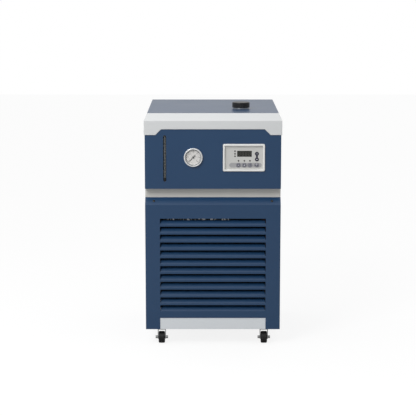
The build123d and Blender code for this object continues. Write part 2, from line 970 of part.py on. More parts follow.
def make_controller_bezel():
    """The white moulded housing: a proud frame with a deep box behind it for the plate and the board."""
    face = front - controller_proud
    end = front + controller_box_depth
    frame = along_y(controller_rectangle(0, controller_corner), face, front)
    frame = chamfer(frame.faces().sort_by(Axis.Y)[0].edges(), controller_edge)
    box = along_y(controller_rectangle(controller_rim - controller_wall, 0), front, end)
    housing = frame + box
    housing -= along_y(controller_rectangle(controller_rim, 0), face - over, plate_back)
    inner = controller_rim + controller_ledge
    housing -= along_y(controller_rectangle(inner, 0), face - over, end - controller_wall)
    for x, z in board_posts():
        housing += rod_y(x, z, boss_radius, board_face + board_thickness, end - controller_wall)
    wall = (end - controller_wall - over, end + over)
    return housing - rod_y(controller_x, controller_z, cable_hole_radius, *wall)


def board_posts():
    """The places of the four posts behind the circuit board, in X and Z."""
    across = controller_width / 2 - controller_rim - boss_inset
    up = controller_height / 2 - controller_rim - boss_inset
    return [(controller_x + i * across, controller_z + j * up) for i in (-1, 1) for j in (-1, 1)]


def key_place(name):
    """A key's centre in X and Z, and its radius."""
    dx, dz, radius = key_places[name]
    return controller_x + dx, controller_z + dz, radius


def make_controller_plate():
    """The grey keypad plate, with a raised strip round the lower keys and a raised bar between the arrows."""
    plate = along_y(controller_rectangle(controller_rim + plate_gap, 0), plate_face, plate_back)
    strip_width = controller_width - 2 * controller_rim - strip_left - strip_right
    strip_x = controller_x + (strip_left - strip_right) / 2
    strip = Pos(strip_x, controller_z + lower_key_z) * SlotOverall(strip_width, strip_height)
    up_x, up_z, radius = key_place("key_up")
    down_z = key_place("key_down")[1]
    bar = Pos(up_x, (up_z + down_z) / 2) * Rectangle(arrow_bar_width, up_z - down_z)
    plate += along_y(strip + bar, plate_face - plate_relief, plate_face)
    cuts = display_rectangle(0)
    for name in key_places:
        x, z, radius = key_place(name)
        cuts += Pos(x, z) * Circle(radius + key_clearance)
    for dx, dz in lamp_places:
        cuts += Pos(controller_x + dx, controller_z + dz) * Circle(lamp_radius + thread_fit)
    return plate - along_y(cuts, plate_face - plate_relief - over, plate_back + over)


def display_rectangle(margin):
    """The display's opening in X and Z, grown on all sides by a margin."""
    outline = Rectangle(display_width + 2 * margin, display_height + 2 * margin)
    return Pos(controller_x + display_x, controller_z + display_z) * outline


def make_display_window():
    """The dark display window: a block in the plate's opening with a flange behind the plate."""
    body = along_y(display_rectangle(-thread_fit), plate_face + display_set_in, plate_back)
    rim = display_rectangle(display_flange)
    return body + along_y(rim, plate_back, plate_back + display_flange_thickness)


def make_key(name):
    """One push key: a shallow domed cap through the plate, a collar behind it and a stem to its switch."""
    x, z, radius = key_place(name)
    face = plate_face - plate_relief - key_proud
    collar = plate_back + key_gap
    profile = polygon(
        (0, face),
        (radius - key_edge, face),
        (radius, face + key_edge),
        (radius, collar),
        (radius + key_collar, collar),
        (radius + key_collar, collar + key_collar_thickness),
        (key_stem_radius, collar + key_collar_thickness),
        (key_stem_radius, board_face - switch_height - key_travel - key_gap),
        (0, board_face - switch_height - key_travel - key_gap),
    )
    return turned_y(profile, x, z)


def make_indicator_lamps():
    """The six round lamps: they stand on the board and come out through the plate."""
    low = plate_face - lamp_proud
    lamps = [
        rod_y(controller_x + dx, controller_z + dz, lamp_radius, low, board_face)
        for dx, dz in lamp_places
    ]
    return Compound(children=lamps)


def make_circuit_board():
    """The board on its four posts, with a switch under each key and the display's block."""
    inset = controller_rim + controller_ledge + plate_gap
    board = along_y(controller_rectangle(inset, 0), board_face, board_face + board_thickness)
    for name in key_places:
        x, z, radius = key_place(name)
        switch = Pos(x, z) * Rectangle(switch_width, switch_width)
        board += along_y(switch, board_face - switch_height, board_face)
    block_face = plate_back + display_flange_thickness
    return board + along_y(display_rectangle(0), block_face, board_face)


def make_reservoir_tank():
    """The stainless reservoir: a closed box with rounded upright corners and its pipe holes."""
    outer = block((tank_low_x, tank_high_x), (tank_low_y, tank_high_y), (tank_bottom, tank_top))
    outer = fillet(outer.edges().filter_by(Axis.Z), tank_corner)
    inner = block(
        (tank_low_x + tank_wall, tank_high_x - tank_wall),
        (tank_low_y + tank_wall, tank_high_y - tank_wall),
        (tank_bottom + tank_wall, tank_top - tank_wall),
    )
    inner = fillet(inner.edges().filter_by(Axis.Z), tank_corner - tank_wall)
    front_wall = (tank_low_y - over, tank_low_y + tank_wall + over)
    back_wall = (tank_high_y - tank_wall - over, tank_high_y + over)
    tank = outer - inner
    tank -= rod_z(filler_x, filler_y, neck_bore + lid_hole_gap, tank_top - tank_wall - over, tank_top + over)
    tank -= rod_z(pump_x, suction_y, tank_outlet_radius, tank_bottom - over, tank_bottom + tank_wall + over)
    for z in (level_low, level_high):
        tank -= rod_y(level_x, z, elbow_arm_radius + thread_fit, *front_wall)
    tank -= rod_y(return_x, port_z, tank_outlet_radius, *back_wall)
    for x in coil_ends():
        tank -= rod_y(x, coil_z, coil_tube_radius + thread_fit, *back_wall)
    return tank


def make_tank_insulation():
    """The foam jacket all round the reservoir, standing on the shelf."""
    jacket = block(
        (tank_low_x - foam_wall, tank_high_x + foam_wall),
        (tank_low_y - foam_wall, tank_high_y + foam_wall),
        (shelf_top, tank_top + foam_wall),
    )
    jacket -= block((tank_low_x, tank_high_x), (tank_low_y, tank_high_y), (tank_bottom, tank_top))
    front_wall = (tank_low_y - foam_wall - over, tank_low_y + over)
    back_wall = (tank_high_y - over, tank_high_y + foam_wall + over)
    hose_hole = hose_radius + thread_fit
    neck_hole = neck_flange_radius + grommet_gap
    jacket -= rod_z(filler_x, filler_y, neck_hole, tank_top - over, tank_top + foam_wall + over)
    jacket -= rod_z(pump_x, suction_y, hose_hole, shelf_top - over, tank_bottom + over)
    for z in (level_low, level_high):
        jacket -= rod_y(level_x, z, elbow_arm_radius + thread_fit, *front_wall)
    jacket -= rod_y(return_x, port_z, hose_hole, *back_wall)
    for x in coil_ends():
        jacket -= rod_y(x, coil_z, coil_tube_radius + thread_fit, *back_wall)
    return jacket


def make_filler_neck():
    """The bright filler neck: a turned tube with a flange on the reservoir's lid."""
    profile = polygon(
        (neck_bore, tank_top),
        (neck_flange_radius, tank_top),
        (neck_flange_radius, tank_top + neck_flange_thickness),
        (neck_radius, tank_top + neck_flange_thickness),
        (neck_radius, neck_top),
        (neck_bore, neck_top),
    )
    return turned_z(profile, filler_x, filler_y)


def make_filler_cap():
    """The black filler cap: a moulded cup over the neck, fluted round its side."""
    low = top_height + cap_lift_off
    high = low + cap_height
    hollow = neck_radius + cap_clearance
    roof = neck_top + cap_clearance
    profile = polygon(
        (hollow, low),
        (cap_radius, low),
        (cap_radius, high - cap_edge),
        (cap_radius - cap_edge, high),
        (0, high),
        (0, roof),
        (hollow, roof),
    )
    cap = turned_z(profile, filler_x, filler_y)
    reach = cap_radius + cap_flute_radius / 2
    cuts = Sketch()
    for i in range(cap_flutes):
        turn = Pos(filler_x, filler_y) * Rot(0, 0, 360 / cap_flutes * i)
        cuts += turn * Pos(reach, 0) * RegularPolygon(cap_flute_radius, 6)
    return cap - along_z(cuts, low - over, high - 2 * cap_edge)


def coil_ends():
    """Where the two ends of the evaporator coil leave the reservoir, in X."""
    return [coil_first_x, coil_first_x + (coil_runs - 1) * coil_pitch]


def make_evaporator_coil():
    """The evaporator: one tube folded to and fro in the reservoir, both ends out through its back."""
    near = tank_low_y + coil_gap
    far = tank_high_y - coil_gap
    points = [(coil_first_x, coil_end_y, coil_z)]
    for run in range(coil_runs):
        x = coil_first_x + run * coil_pitch
        turn = near if run % 2 == 0 else far
        points += [(x, turn, coil_z), (x + coil_pitch, turn, coil_z)]
    points[-2:] = [(coil_ends()[1], coil_end_y, coil_z)]
    bends = [(coil_pitch - seam) / 2] * (len(points) - 2)
    return pipe(points, bends, coil_tube_radius)


def make_compressor():
    """The hermetic compressor: two drawn halves with a seam, on a foot plate, with its two pipe stubs."""
    base = compressor_base
    top = base + compressor_height
    middle = (base + top) / 2
    inner = compressor_radius - compressor_dome
    profile = polygon(
        (0, base),
        (inner, base),
        (compressor_radius, base + compressor_dome),
        (compressor_radius, middle - compressor_seam),
        (compressor_radius + compressor_seam, middle - compressor_seam),
        (compressor_radius + compressor_seam, middle),
        (compressor_radius, middle),
        (compressor_radius, top - compressor_dome),
        (inner, top),
        (0, top),
    )
    x, y = compressor_x, compressor_y
    can = turned_z(profile, x, y)
    plate = RectangleRounded(2 * compressor_foot_half, 2 * compressor_foot_half, grommet_inset)
    for dx, dy in grommet_places():
        plate -= Pos(dx, dy) * Circle(screw_radius + screw_clearance)
    can += along_z(Pos(x, y) * plate, base - compressor_foot, base)
    can += rod_z(x + discharge_stub_offset, y, stub_radius, top - over, discharge_stub_top)
    stub = Pos(y, suction_stub_z) * Circle(stub_radius)
    return can + along_x(stub, suction_stub_end, x - compressor_radius + over)


def grommet_places():
    """The four corners where the compressor stands, from its axis."""
    reach = compressor_foot_half - grommet_inset
    return [(i * reach, j * reach) for i in (-1, 1) for j in (-1, 1)]


def make_compressor_mounts():
    """The four rubber grommets under the compressor, waisted in the middle."""
    low, high = tray_floor, tray_floor + grommet_height
    waist = grommet_radius - grommet_waist
    profile = polygon(
        (0, low),
        (grommet_radius, low),
        (waist, (low + high) / 2),
        (grommet_radius, high),
        (0, high),
    )
    x, y = compressor_x, compressor_y
    return Compound(children=[turned_z(profile, x + dx, y + dy) for dx, dy in grommet_places()])


def make_condenser_fins():
    """The condenser's pack of upright fins on a web, between two end plates that stand on the base."""
    half = condenser_half_width
    web_y = condenser_high_y - fin_web
    section = polygon((-half, web_y), (half, web_y), (half, condenser_high_y), (-half, condenser_high_y))
    count = int(2 * half // fin_pitch)
    fin = Rectangle(fin_sheet, web_y - condenser_low_y + over, align=(Align.CENTER, Align.MIN))
    for i in range(count):
        section += Pos((i - (count - 1) / 2) * fin_pitch, condenser_low_y) * fin
    pack = along_z(section, condenser_bottom, condenser_top)
    plate_z = (tray_floor, condenser_top + end_plate_overhang)
    for side in (-1, 1):
        edge = sorted((side * half, side * (half + end_plate)))
        pack += block(edge, (condenser_low_y, condenser_high_y), plate_z)
    return pack


def condenser_rows():
    """The heights of the condenser's tubes, from the lowest to the highest."""
    rows = 2 * return_bend_count
    pitch = (condenser_top - condenser_bottom) / rows
    return [condenser_bottom + pitch * (row + 0.5) for row in range(rows)]


def return_bend(side, low, high):
    """One return bend outside the end plate of that side: a half turn between two short stubs.

    Its section is drawn with eight flats, because the bends are many and small.
    """
    face = side * (condenser_half_width + end_plate)
    start = face + side * tube_stub
    section = RegularPolygon(pipe_radius, 8, major_radius=False)
    ring = Plane.YZ.offset(start) * Pos(tube_y, low) * section
    bend = revolve(ring, Axis((start, tube_y, (low + high) / 2), (0, -side, 0)), 180)
    for z in (low, high):
        bend += along_x(Pos(tube_y, z) * section, *sorted((face, start)))
    return bend


def make_condenser_tubes():
    """The copper return bends outside the condenser's end plates, offset by one tube from side to side."""
    rows = condenser_rows()
    left = [return_bend(-1, low, high) for low, high in zip(rows[::2], rows[1::2])]
    right = [return_bend(1, low, high) for low, high in zip(rows[1::2], rows[2::2])]
    return Compound(children=left + right)


def make_fan_shroud():
    """The moulded fan shroud behind the condenser, with the arms and the ring that hold the motor."""
    low_y = condenser_high_y
    high_y = low_y + shroud_depth
    half = condenser_half_width
    shroud = block((-half, half), (low_y, high_y), (condenser_bottom, condenser_top))
    shroud -= block(
        (shroud_wall - half, half - shroud_wall),
        (low_y - over, high_y - shroud_wall),
        (condenser_bottom + shroud_wall, condenser_top - shroud_wall),
    )
    bore = fan_radius + fan_tip_gap
    shroud += along_y(Pos(0, fan_z) * Circle(bore + shroud_wall), high_y - fan_ring_depth, high_y)
    shroud -= rod_y(0, fan_z, bore, low_y - over, high_y + over)
    arms = Circle(fan_motor_radius + shroud_wall + thread_fit)
    arm = Rectangle(bore + shroud_wall, fan_arm_width, align=(Align.MIN, Align.CENTER))
    for i in range(fan_arms):
        arms += Rot(0, 0, 45 + 360 / fan_arms * i) * arm
    arms -= Circle(fan_motor_radius + thread_fit)
    return shroud + along_y(Pos(0, fan_z) * arms, high_y, high_y + fan_arm_thickness)


def make_fan_motor():
    """The fan motor: a flanged drum held in the shroud's ring, bored for the shaft."""
    low = fan_hub_back + fan_motor_gap
    arms_back = condenser_high_y + shroud_depth + fan_arm_thickness
    body = rod_y(0, fan_z, fan_motor_radius, low, low + fan_motor_length)
    body = chamfer(body.edges().filter_by(GeomType.CIRCLE), fan_motor_edge)
    body += rod_y(0, fan_z, fan_motor_radius + fan_motor_flange, arms_back, arms_back + fan_motor_flange)
    bore = fan_shaft_radius + fan_shaft_clearance
    return body - rod_y(0, fan_z, bore, low - over, low + fan_motor_length / 2)


def make_fan_rotor():
    """The fan: five twisted blades on a hub, with its shaft into the motor."""
    low = fan_hub_back - fan_hub_length
    middle = (low + fan_hub_back) / 2
    hub = Circle(fan_hub_radius)
    rotor = along_y(Pos(0, fan_z) * hub, low, fan_hub_back)
    rotor = chamfer(rotor.edges().sort_by(Axis.Y)[0], fan_motor_edge)
    centre = Plane(origin=(0, middle, fan_z), x_dir=(1, 0, 0), z_dir=(0, -1, 0))
    for i in range(fan_blades):
        turn = Plane.XY.rotated((0, 0, 360 / fan_blades * i)).location
        root = blade_section(fan_hub_radius - fan_root_sink, fan_root_chord, fan_root_pitch)
        tip = blade_section(fan_radius - fan_tip_sink, fan_tip_chord, fan_tip_pitch)
        rotor += centre.location * turn * loft([root, tip])
    end = fan_hub_back + fan_motor_gap + fan_motor_length / 2 - fan_shaft_end_gap
    return rotor + rod_y(0, fan_z, fan_shaft_radius, fan_hub_back - over, end)


def blade_section(distance, chord, pitch):
    """One section of a fan blade: a thin plate at a distance from the axis, turned by the blade's pitch."""
    slope = math.radians(pitch)
    chord_direction = (0, math.cos(slope), math.sin(slope))
    plane = Plane(origin=(distance, 0, 0), x_dir=chord_direction, z_dir=(1, 0, 0))
    return plane * Rectangle(chord, fan_blade_thickness)


def make_filter_drier():
    """The filter drier in the liquid line: a copper drum with swaged ends, lying along Y."""
    low = drier_low
    swage = drier_radius
    profile = polygon(
        (0, low),
        (pipe_radius + drier_neck_wall, low),
        (drier_radius, low + swage),
        (drier_radius, low + drier_length - swage),
        (pipe_radius + drier_neck_wall, low + drier_length),
        (0, low + drier_length),
    )
    return turned_y(profile, pipe_lane_x, condenser_rows()[0])


def make_refrigerant_pipes():
    """The copper pipes: compressor to condenser, condenser to drier, drier to evaporator, and suction."""
    rows = condenser_rows()
    face = condenser_half_width + end_plate
    first, last = coil_ends()
    stub_x = compressor_x + discharge_stub_offset
    over_can = discharge_stub_top + discharge_rise
    discharge = [
        (stub_x, compressor_y, discharge_stub_top),
        (stub_x, compressor_y, over_can),
        (pipe_lane_x, compressor_y, over_can),
        (pipe_lane_x, tube_y, over_can),
        (pipe_lane_x, tube_y, rows[-1]),
        (face, tube_y, rows[-1]),
    ]
    liquid = [
        (face, tube_y, rows[0]),
        (pipe_lane_x, tube_y, rows[0]),
        (pipe_lane_x, drier_low, rows[0]),
    ]
    feed = [
        (pipe_lane_x, drier_low + drier_length, rows[0]),
        (pipe_lane_x, pipe_lane_y, rows[0]),
        (pipe_lane_x, pipe_lane_y, coil_z),
        (last, pipe_lane_y, coil_z),
        (last, coil_end_y, coil_z),
    ]
    suction = [
        (first, coil_end_y, coil_z),
        (first, pipe_lane_y, coil_z),
        (suction_pipe_x, pipe_lane_y, coil_z),
        (suction_pipe_x, pipe_lane_y, suction_stub_z),
        (suction_pipe_x, compressor_y, suction_stub_z),
        (suction_stub_end, compressor_y, suction_stub_z),
    ]
    lines = [discharge, liquid, feed, suction]
    return Compound(children=[pipe(line, [pipe_bend] * (len(line) - 2), pipe_radius) for line in lines])


def make_circulation_pump():
    """The circulation pump: a volute with its inlet and outlet, and a motor on a foot behind it."""
    x, y, z = pump_x, pump_y, pump_z
    face = y - pump_volute_length / 2
    rear = y + pump_volute_length / 2
    pump = rod_y(x, z, pump_volute_radius, face, rear)
    pump = chamfer(pump.edges().filter_by(GeomType.CIRCLE), fan_motor_edge)
    pump += rod_y(x, z, pump_motor_radius, rear - over, rear + pump_motor_length)
    pump += rod_y(x, z, pump_nozzle_radius, pump_inlet_y, face + over)
    pump += rod_z(x, y, pump_nozzle_radius, z, pump_outlet_z)
    foot = block(
        (x - pump_foot_half, x + pump_foot_half),
        (rear + pump_foot_thickness, rear + pump_motor_length - pump_foot_thickness),
        (tray_floor, tray_floor + pump_foot_thickness),
    )
    web = block(
        (x - pump_foot_half / 2, x + pump_foot_half / 2),
        (rear + pump_foot_thickness, rear + pump_motor_length - pump_foot_thickness),
        (tray_floor, z),
    )
    return pump + foot + web


def make_coolant_hoses():
    """The hoses: reservoir to pump with the drain's branch, pump to supply port, return, and gauge line."""
    x = pump_x
    crossing = pump_outlet_z + crossing_rise
    line_height = upper_panel_bottom - gauge_line_drop
    tap_height = pump_outlet_z + gauge_tap_rise
    suction = [(x, suction_y, tank_bottom), (x, suction_y, pump_z), (x, pump_inlet_y, pump_z)]
    drain = [
        (drain_x, port_tail_y, drain_z),
        (drain_x, suction_y, drain_z),
        (x + hose_radius / 4, suction_y, drain_z),
    ]
    supply = [
        (x, pump_y, pump_outlet_z),
        (x, pump_y, crossing),
        (x, riser_y, crossing),
        (x, riser_y, port_z),
        (x, port_tail_y, port_z),
    ]
    gauge_line = [
        (gauge_x, front + gauge_case_depth + gauge_stem_length, gauge_z),
        (gauge_x, gauge_line_y, gauge_z),
        (gauge_x, gauge_line_y, line_height),
        (gauge_x, pump_y, line_height),
        (gauge_x, pump_y, tap_height),
        (x + hose_radius - gauge_tap_sink, pump_y, tap_height),
    ]
    feed = pipe(suction, [hose_bend / 2], hose_radius) + pipe(drain, [hose_bend], hose_radius)
    outflow = pipe(supply, [hose_bend, hose_bend, port_bend], hose_radius)
    outflow += pipe(gauge_line, [gauge_hose_bend] * 4, gauge_hose_radius)
    back_flow = rod_y(return_x, port_z, hose_radius, tank_high_y, port_tail_y)
    return Compound(children=[feed, outflow, back_flow])


def make_hose_port(x, z):
    """A rear hose port: a threaded spigot with a hexagon against the panel and a tail inside."""
    hexagon = RegularPolygon(port_hex_width / 2, 6, major_radius=False)
    end = back + port_reach
    port = along_y(Pos(x, z) * hexagon, back, back + port_hex_thickness)
    profile = polygon(
        (port_bore, port_tail_y),
        (port_thread_radius, port_tail_y),
        (port_thread_radius, end - port_lead),
        (port_thread_radius - port_lead, end),
        (port_bore, end),
    )
    port += turned_y(profile, x, z)
    return port - rod_y(x, z, port_bore, port_tail_y - over, end + over)


def make_drain_fitting():
    """The drain: a hexagonal body through the rear panel, closed by a screwed plug."""
    hexagon = RegularPolygon(port_hex_width / 2, 6, major_radius=False)
    plug = RegularPolygon(drain_plug_radius, 6)
    fitting = along_y(Pos(drain_x, drain_z) * hexagon, back, back + port_hex_thickness)
    fitting += along_y(Pos(drain_x, drain_z) * plug, back, back + port_hex_thickness + drain_plug_height)
    return fitting + rod_y(drain_x, drain_z, port_thread_radius, port_tail_y, back + over)


def make_cable_gland():
    """The cable gland: a hexagon against the rear panel, a domed nut and a lock nut inside, bored through."""
    face = back + port_hex_thickness
    end = face + gland_dome
    inside = back - sheet - port_hex_thickness
    hexagon = RegularPolygon(gland_radius + port_hex_thickness / 2, 6)
    gland = along_y(Pos(gland_x, gland_z) * hexagon, back, face)
    gland += along_y(Pos(gland_x, gland_z) * hexagon, inside, back - sheet)
    profile = polygon(
        (gland_bore, inside),
        (gland_radius, inside),
        (gland_radius, end - gland_radius / 2),
        (gland_bore + gland_lip, end),
        (gland_bore, end),
    )
    gland += turned_y(profile, gland_x, gland_z)
    return gland - rod_y(gland_x, gland_z, gland_bore, inside - over, end + over)


def caster_places():
    """The four casters: name and the place of the swivel axis."""
    low, high = front + caster_inset, back - caster_inset
    return [
        ("front_left", -caster_x, low),
        ("front_right", caster_x, low),
        ("rear_left", -caster_x, high),
        ("rear_right", caster_x, high),
    ]


def make_caster_plates():
    """The four mounting plates under the base, each with its race and its kingpin below."""
    top = skirt_height
    under = top - caster_plate_thickness
    plates = []
    for name, x, y in caster_places():
        outline = RectangleRounded(caster_plate_x, caster_plate_y, caster_plate_corner)
        plate = along_z(Pos(x, y) * outline, under, top)
        plate += rod_z(x, y, race_radius, race_bottom, under)
        plate += rod_z(x, y, kingpin_radius, kingpin_bottom, under)
        plate += rod_z(x, y, kingpin_head_radius, kingpin_bottom, fork_top - fork_sheet - race_gap)
        plates.append(plate)
    return Compound(children=plates)


def make_caster_fork(x, y):
    """A caster's fork: one bent sheet with its riveted axle, trailing forward of the swivel axis."""
    leg_inner = wheel_width / 2 + wheel_side_gap
    leg_outer = leg_inner + fork_sheet
    axle_y = y - caster_trail
    tip = axle_y - fork_leg_radius
    heel = y + fork_heel
    top_plate = Pos(x, y) * Circle(fork_top_radius)
    top_plate += Pos(x, (tip + heel) / 2) * Rectangle(2 * leg_outer, heel - tip)
    fork = along_z(top_plate, fork_top - fork_sheet, fork_top)
    cheek = polygon(
        (heel, fork_top),
        (heel, fork_top - 2 * fork_sheet),
        (axle_y + fork_leg_radius, wheel_radius),
        (axle_y - fork_leg_radius, wheel_radius),
        (tip, fork_top),
    )
    cheek += Pos(axle_y, wheel_radius) * Circle(fork_leg_radius)
    for side in (-1, 1):
        fork += along_x(cheek, *sorted((x + side * leg_inner, x + side * leg_outer)))
        head = sorted((x + side * leg_outer, x + side * axle_reach))
        fork += along_x(Pos(axle_y, wheel_radius) * Circle(axle_head_radius), *head)
    fork += along_x(Pos(axle_y, wheel_radius) * Circle(axle_radius), x - leg_outer, x + leg_outer)
    return fork - rod_z(x, y, kingpin_radius + kingpin_gap, fork_top - fork_sheet - over, fork_top + over)


def make_caster_wheel(x, y):
    """A caster's black moulded wheel, with a dished side and its bore."""
    half = wheel_width / 2
    hub = wheel_hub_radius
    dish = half - wheel_recess
    profile = polygon(
        (wheel_bore, -half),
        (hub, -half),
        (hub + wheel_dish_slope, -dish),
        (wheel_rim_inner - wheel_dish_slope, -dish),
        (wheel_rim_inner, -half),
        (wheel_radius - wheel_edge, -half),
        (wheel_radius, wheel_edge - half),
        (wheel_radius, half - wheel_edge),
        (wheel_radius - wheel_edge, half),
        (wheel_rim_inner, half),
        (wheel_rim_inner - wheel_dish_slope, dish),
        (hub + wheel_dish_slope, dish),
        (hub, half),
        (wheel_bore, half),
    )
    wheel = revolve(Plane.XZ * profile, Axis.Z)
    return Pos(x, y - caster_trail, wheel_radius) * Rot(0, 90, 0) * wheel


def make_all():
    """Every piece of the chiller by its name."""
    pieces = {
        "base_tray": make_base_tray(),
        "left_side_panel": make_side_panel(-1),
        "right_side_panel": make_side_panel(1),
        "rear_panel": make_rear_panel(),
        "top_cover": make_top_cover(),
        "front_visor": make_front_visor(),
        "upper_front_panel": make_upper_front_panel(),
        "grille_panel": make_grille_panel(),
        "waist_rail": make_waist_rail(),
        "mid_shelf": make_mid_shelf(),
        "panel_screws": make_panel_screws(),
        "gauge_case": make_gauge_case(),
        "gauge_bezel": make_gauge_bezel(),
        "gauge_lens": make_gauge_lens(),
        "gauge_dial": make_gauge_dial(),
        "gauge_pointer": make_gauge_pointer(),
        "level_tube": make_level_tube(),
        "level_elbows": make_level_elbows(),
        "level_float": make_level_float(),
        "controller_bezel": make_controller_bezel(),
        "controller_plate": make_controller_plate(),
        "display_window": make_display_window(),
        "indicator_lamps": make_indicator_lamps(),
        "circuit_board": make_circuit_board(),
        "reservoir_tank": make_reservoir_tank(),
        "tank_insulation": make_tank_insulation(),
        "filler_neck": make_filler_neck(),
        "filler_cap": make_filler_cap(),
        "evaporator_coil": make_evaporator_coil(),
        "compressor": make_compressor(),
        "compressor_mounts": make_compressor_mounts(),
        "condenser_fins": make_condenser_fins(),
        "condenser_tubes": make_condenser_tubes(),
        "fan_shroud": make_fan_shroud(),
        "fan_motor": make_fan_motor(),
        "fan_rotor": make_fan_rotor(),
        "filter_drier": make_filter_drier(),
        "refrigerant_pipes": make_refrigerant_pipes(),
        "circulation_pump": make_circulation_pump(),
        "coolant_hoses": make_coolant_hoses(),
        "supply_port": make_hose_port(supply_x, port_z),
        "return_port": make_hose_port(return_x, port_z),
        "drain_fitting": make_drain_fitting(),
        "cable_gland": make_cable_gland(),
        "caster_plates": make_caster_plates(),
    }
    for name in key_places:
        pieces[name] = make_key(name)
    for name, x, y in caster_places():
        pieces[f"{name}_fork"] = make_caster_fork(x, y)
        pieces[f"{name}_wheel"] = make_caster_wheel(x, y)
    return pieces


os.makedirs("parts", exist_ok=True)
for node, piece in make_all().items():
    export_step(piece, f"parts/{node}.step")
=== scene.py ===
"""The recirculating chiller dressed for its picture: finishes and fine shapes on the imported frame."""

import math

import bmesh
import bpy
import numpy as np
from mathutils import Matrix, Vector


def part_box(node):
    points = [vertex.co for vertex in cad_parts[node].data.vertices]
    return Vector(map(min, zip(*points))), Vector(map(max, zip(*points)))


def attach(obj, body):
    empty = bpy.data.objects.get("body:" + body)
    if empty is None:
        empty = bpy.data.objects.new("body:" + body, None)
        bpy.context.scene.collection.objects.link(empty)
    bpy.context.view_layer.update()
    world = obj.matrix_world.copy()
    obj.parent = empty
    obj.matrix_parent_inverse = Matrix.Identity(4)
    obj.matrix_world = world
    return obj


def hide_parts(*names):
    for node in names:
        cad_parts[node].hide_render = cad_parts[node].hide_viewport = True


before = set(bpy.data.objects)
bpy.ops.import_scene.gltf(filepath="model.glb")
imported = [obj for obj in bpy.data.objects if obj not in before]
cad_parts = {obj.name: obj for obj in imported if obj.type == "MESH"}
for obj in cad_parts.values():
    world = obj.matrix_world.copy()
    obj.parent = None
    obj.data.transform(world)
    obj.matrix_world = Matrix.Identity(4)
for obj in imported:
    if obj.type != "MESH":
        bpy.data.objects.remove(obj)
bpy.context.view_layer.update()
MM = 0.001


# The camera stands well back and a little above the chiller, with a long lens, as the photograph's did.
# Its place, tilt and focal length come from the cabinet's own edges in the photograph.
front_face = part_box("grille_panel")[0].y
camera_aside_mm = -16.3
camera_away_mm = 4631.9
camera_height_mm = 1265.2
camera_tilt_down = 9.78
camera_lens = 122.7
camera_data = bpy.data.cameras.new("camera")
camera_data.lens = camera_lens
camera_data.sensor_width = 36.0
camera_data.clip_end = 60.0
camera = bpy.data.objects.new("camera", camera_data)
camera.location = (camera_aside_mm * MM, front_face - camera_away_mm * MM, camera_height_mm * MM)
camera.rotation_euler = (math.radians(90 - camera_tilt_down), 0, 0)
bpy.context.scene.collection.objects.link(camera)
bpy.context.scene.camera = camera
bpy.context.scene.view_settings.view_transform = "Standard"


# The studio: a white lit floor, white surroundings, a key softbox at the upper left and a weak one overhead.
# They stand still and aren't part of the chiller.
def linear(code):
    """An sRGB hex colour as linear RGBA: c/12.92 when dark, otherwise ((c + 0.055) / 1.055) to the 2.4."""
    channels = [int(code[i : i + 2], 16) / 255 for i in (0, 2, 4)]
    return [c / 12.92 if c <= 0.04045 else ((c + 0.055) / 1.055) ** 2.4 for c in channels] + [1.0]


def add(tree, kind, sockets=None, **attributes):
    """Adds a node, sets its attributes, and sets each named input to a value or links it from a socket."""
    made = tree.nodes.new(kind)
    for name, value in attributes.items():
        setattr(made, name, value)
    for name, value in (sockets or {}).items():
        target = made.inputs[name]
        if isinstance(value, bpy.types.NodeSocket):
            tree.links.new(value, target)
        else:
            target.default_value = value
    return made


def blank(name):
    """An empty node material and its output node."""
    made = bpy.data.materials.new(name)
    made.use_nodes = True
    made.node_tree.nodes.clear()
    return made, made.node_tree, made.node_tree.nodes.new("ShaderNodeOutputMaterial")


def from_arrays(name, points, faces, material):
    """A mesh object at the origin from points in metres and faces of any number of corners."""
    mesh = bpy.data.meshes.new(name)
    mesh.from_pydata(np.asarray(points, float).tolist(), [], faces)
    mesh.materials.append(material)
    made = bpy.data.objects.new(name, mesh)
    bpy.context.scene.collection.objects.link(made)
    return made


floor_half = 9.0
floor_glow = 0.86
floor_paint, tree, output = blank("studio_floor_paint")
floor_grain = add(tree, "ShaderNodeTexNoise", {"Scale": 3.0, "Detail": 2.0})
floor_tone = add(
    tree,
    "ShaderNodeMix",
    {"Factor": floor_grain.outputs["Fac"], 6: linear("6c6c6c"), 7: linear("727272")},
    data_type="RGBA",
)
floor_bounce = add(tree, "ShaderNodeBsdfDiffuse", {"Color": linear("bcbcbc")})
floor_seen = add(tree, "ShaderNodeBsdfDiffuse", {"Color": floor_tone.outputs[2]})
floor_lit = add(tree, "ShaderNodeEmission", {"Color": linear("ffffff"), "Strength": floor_glow})
floor_sum = add(tree, "ShaderNodeAddShader", {0: floor_seen.outputs[0], 1: floor_lit.outputs[0]})
floor_path = add(tree, "ShaderNodeLightPath")
floor_mix = add(
    tree,
    "ShaderNodeMixShader",
    {0: floor_path.outputs["Is Camera Ray"], 1: floor_bounce.outputs[0], 2: floor_sum.outputs[0]},
)
tree.links.new(floor_mix.outputs[0], output.inputs["Surface"])
floor_points = [(x * floor_half, y * floor_half, 0.0) for x, y in ((-1, -1), (1, -1), (1, 1), (-1, 1))]
floor = from_arrays("studio_floor", floor_points, [(0, 1, 2, 3)], floor_paint)

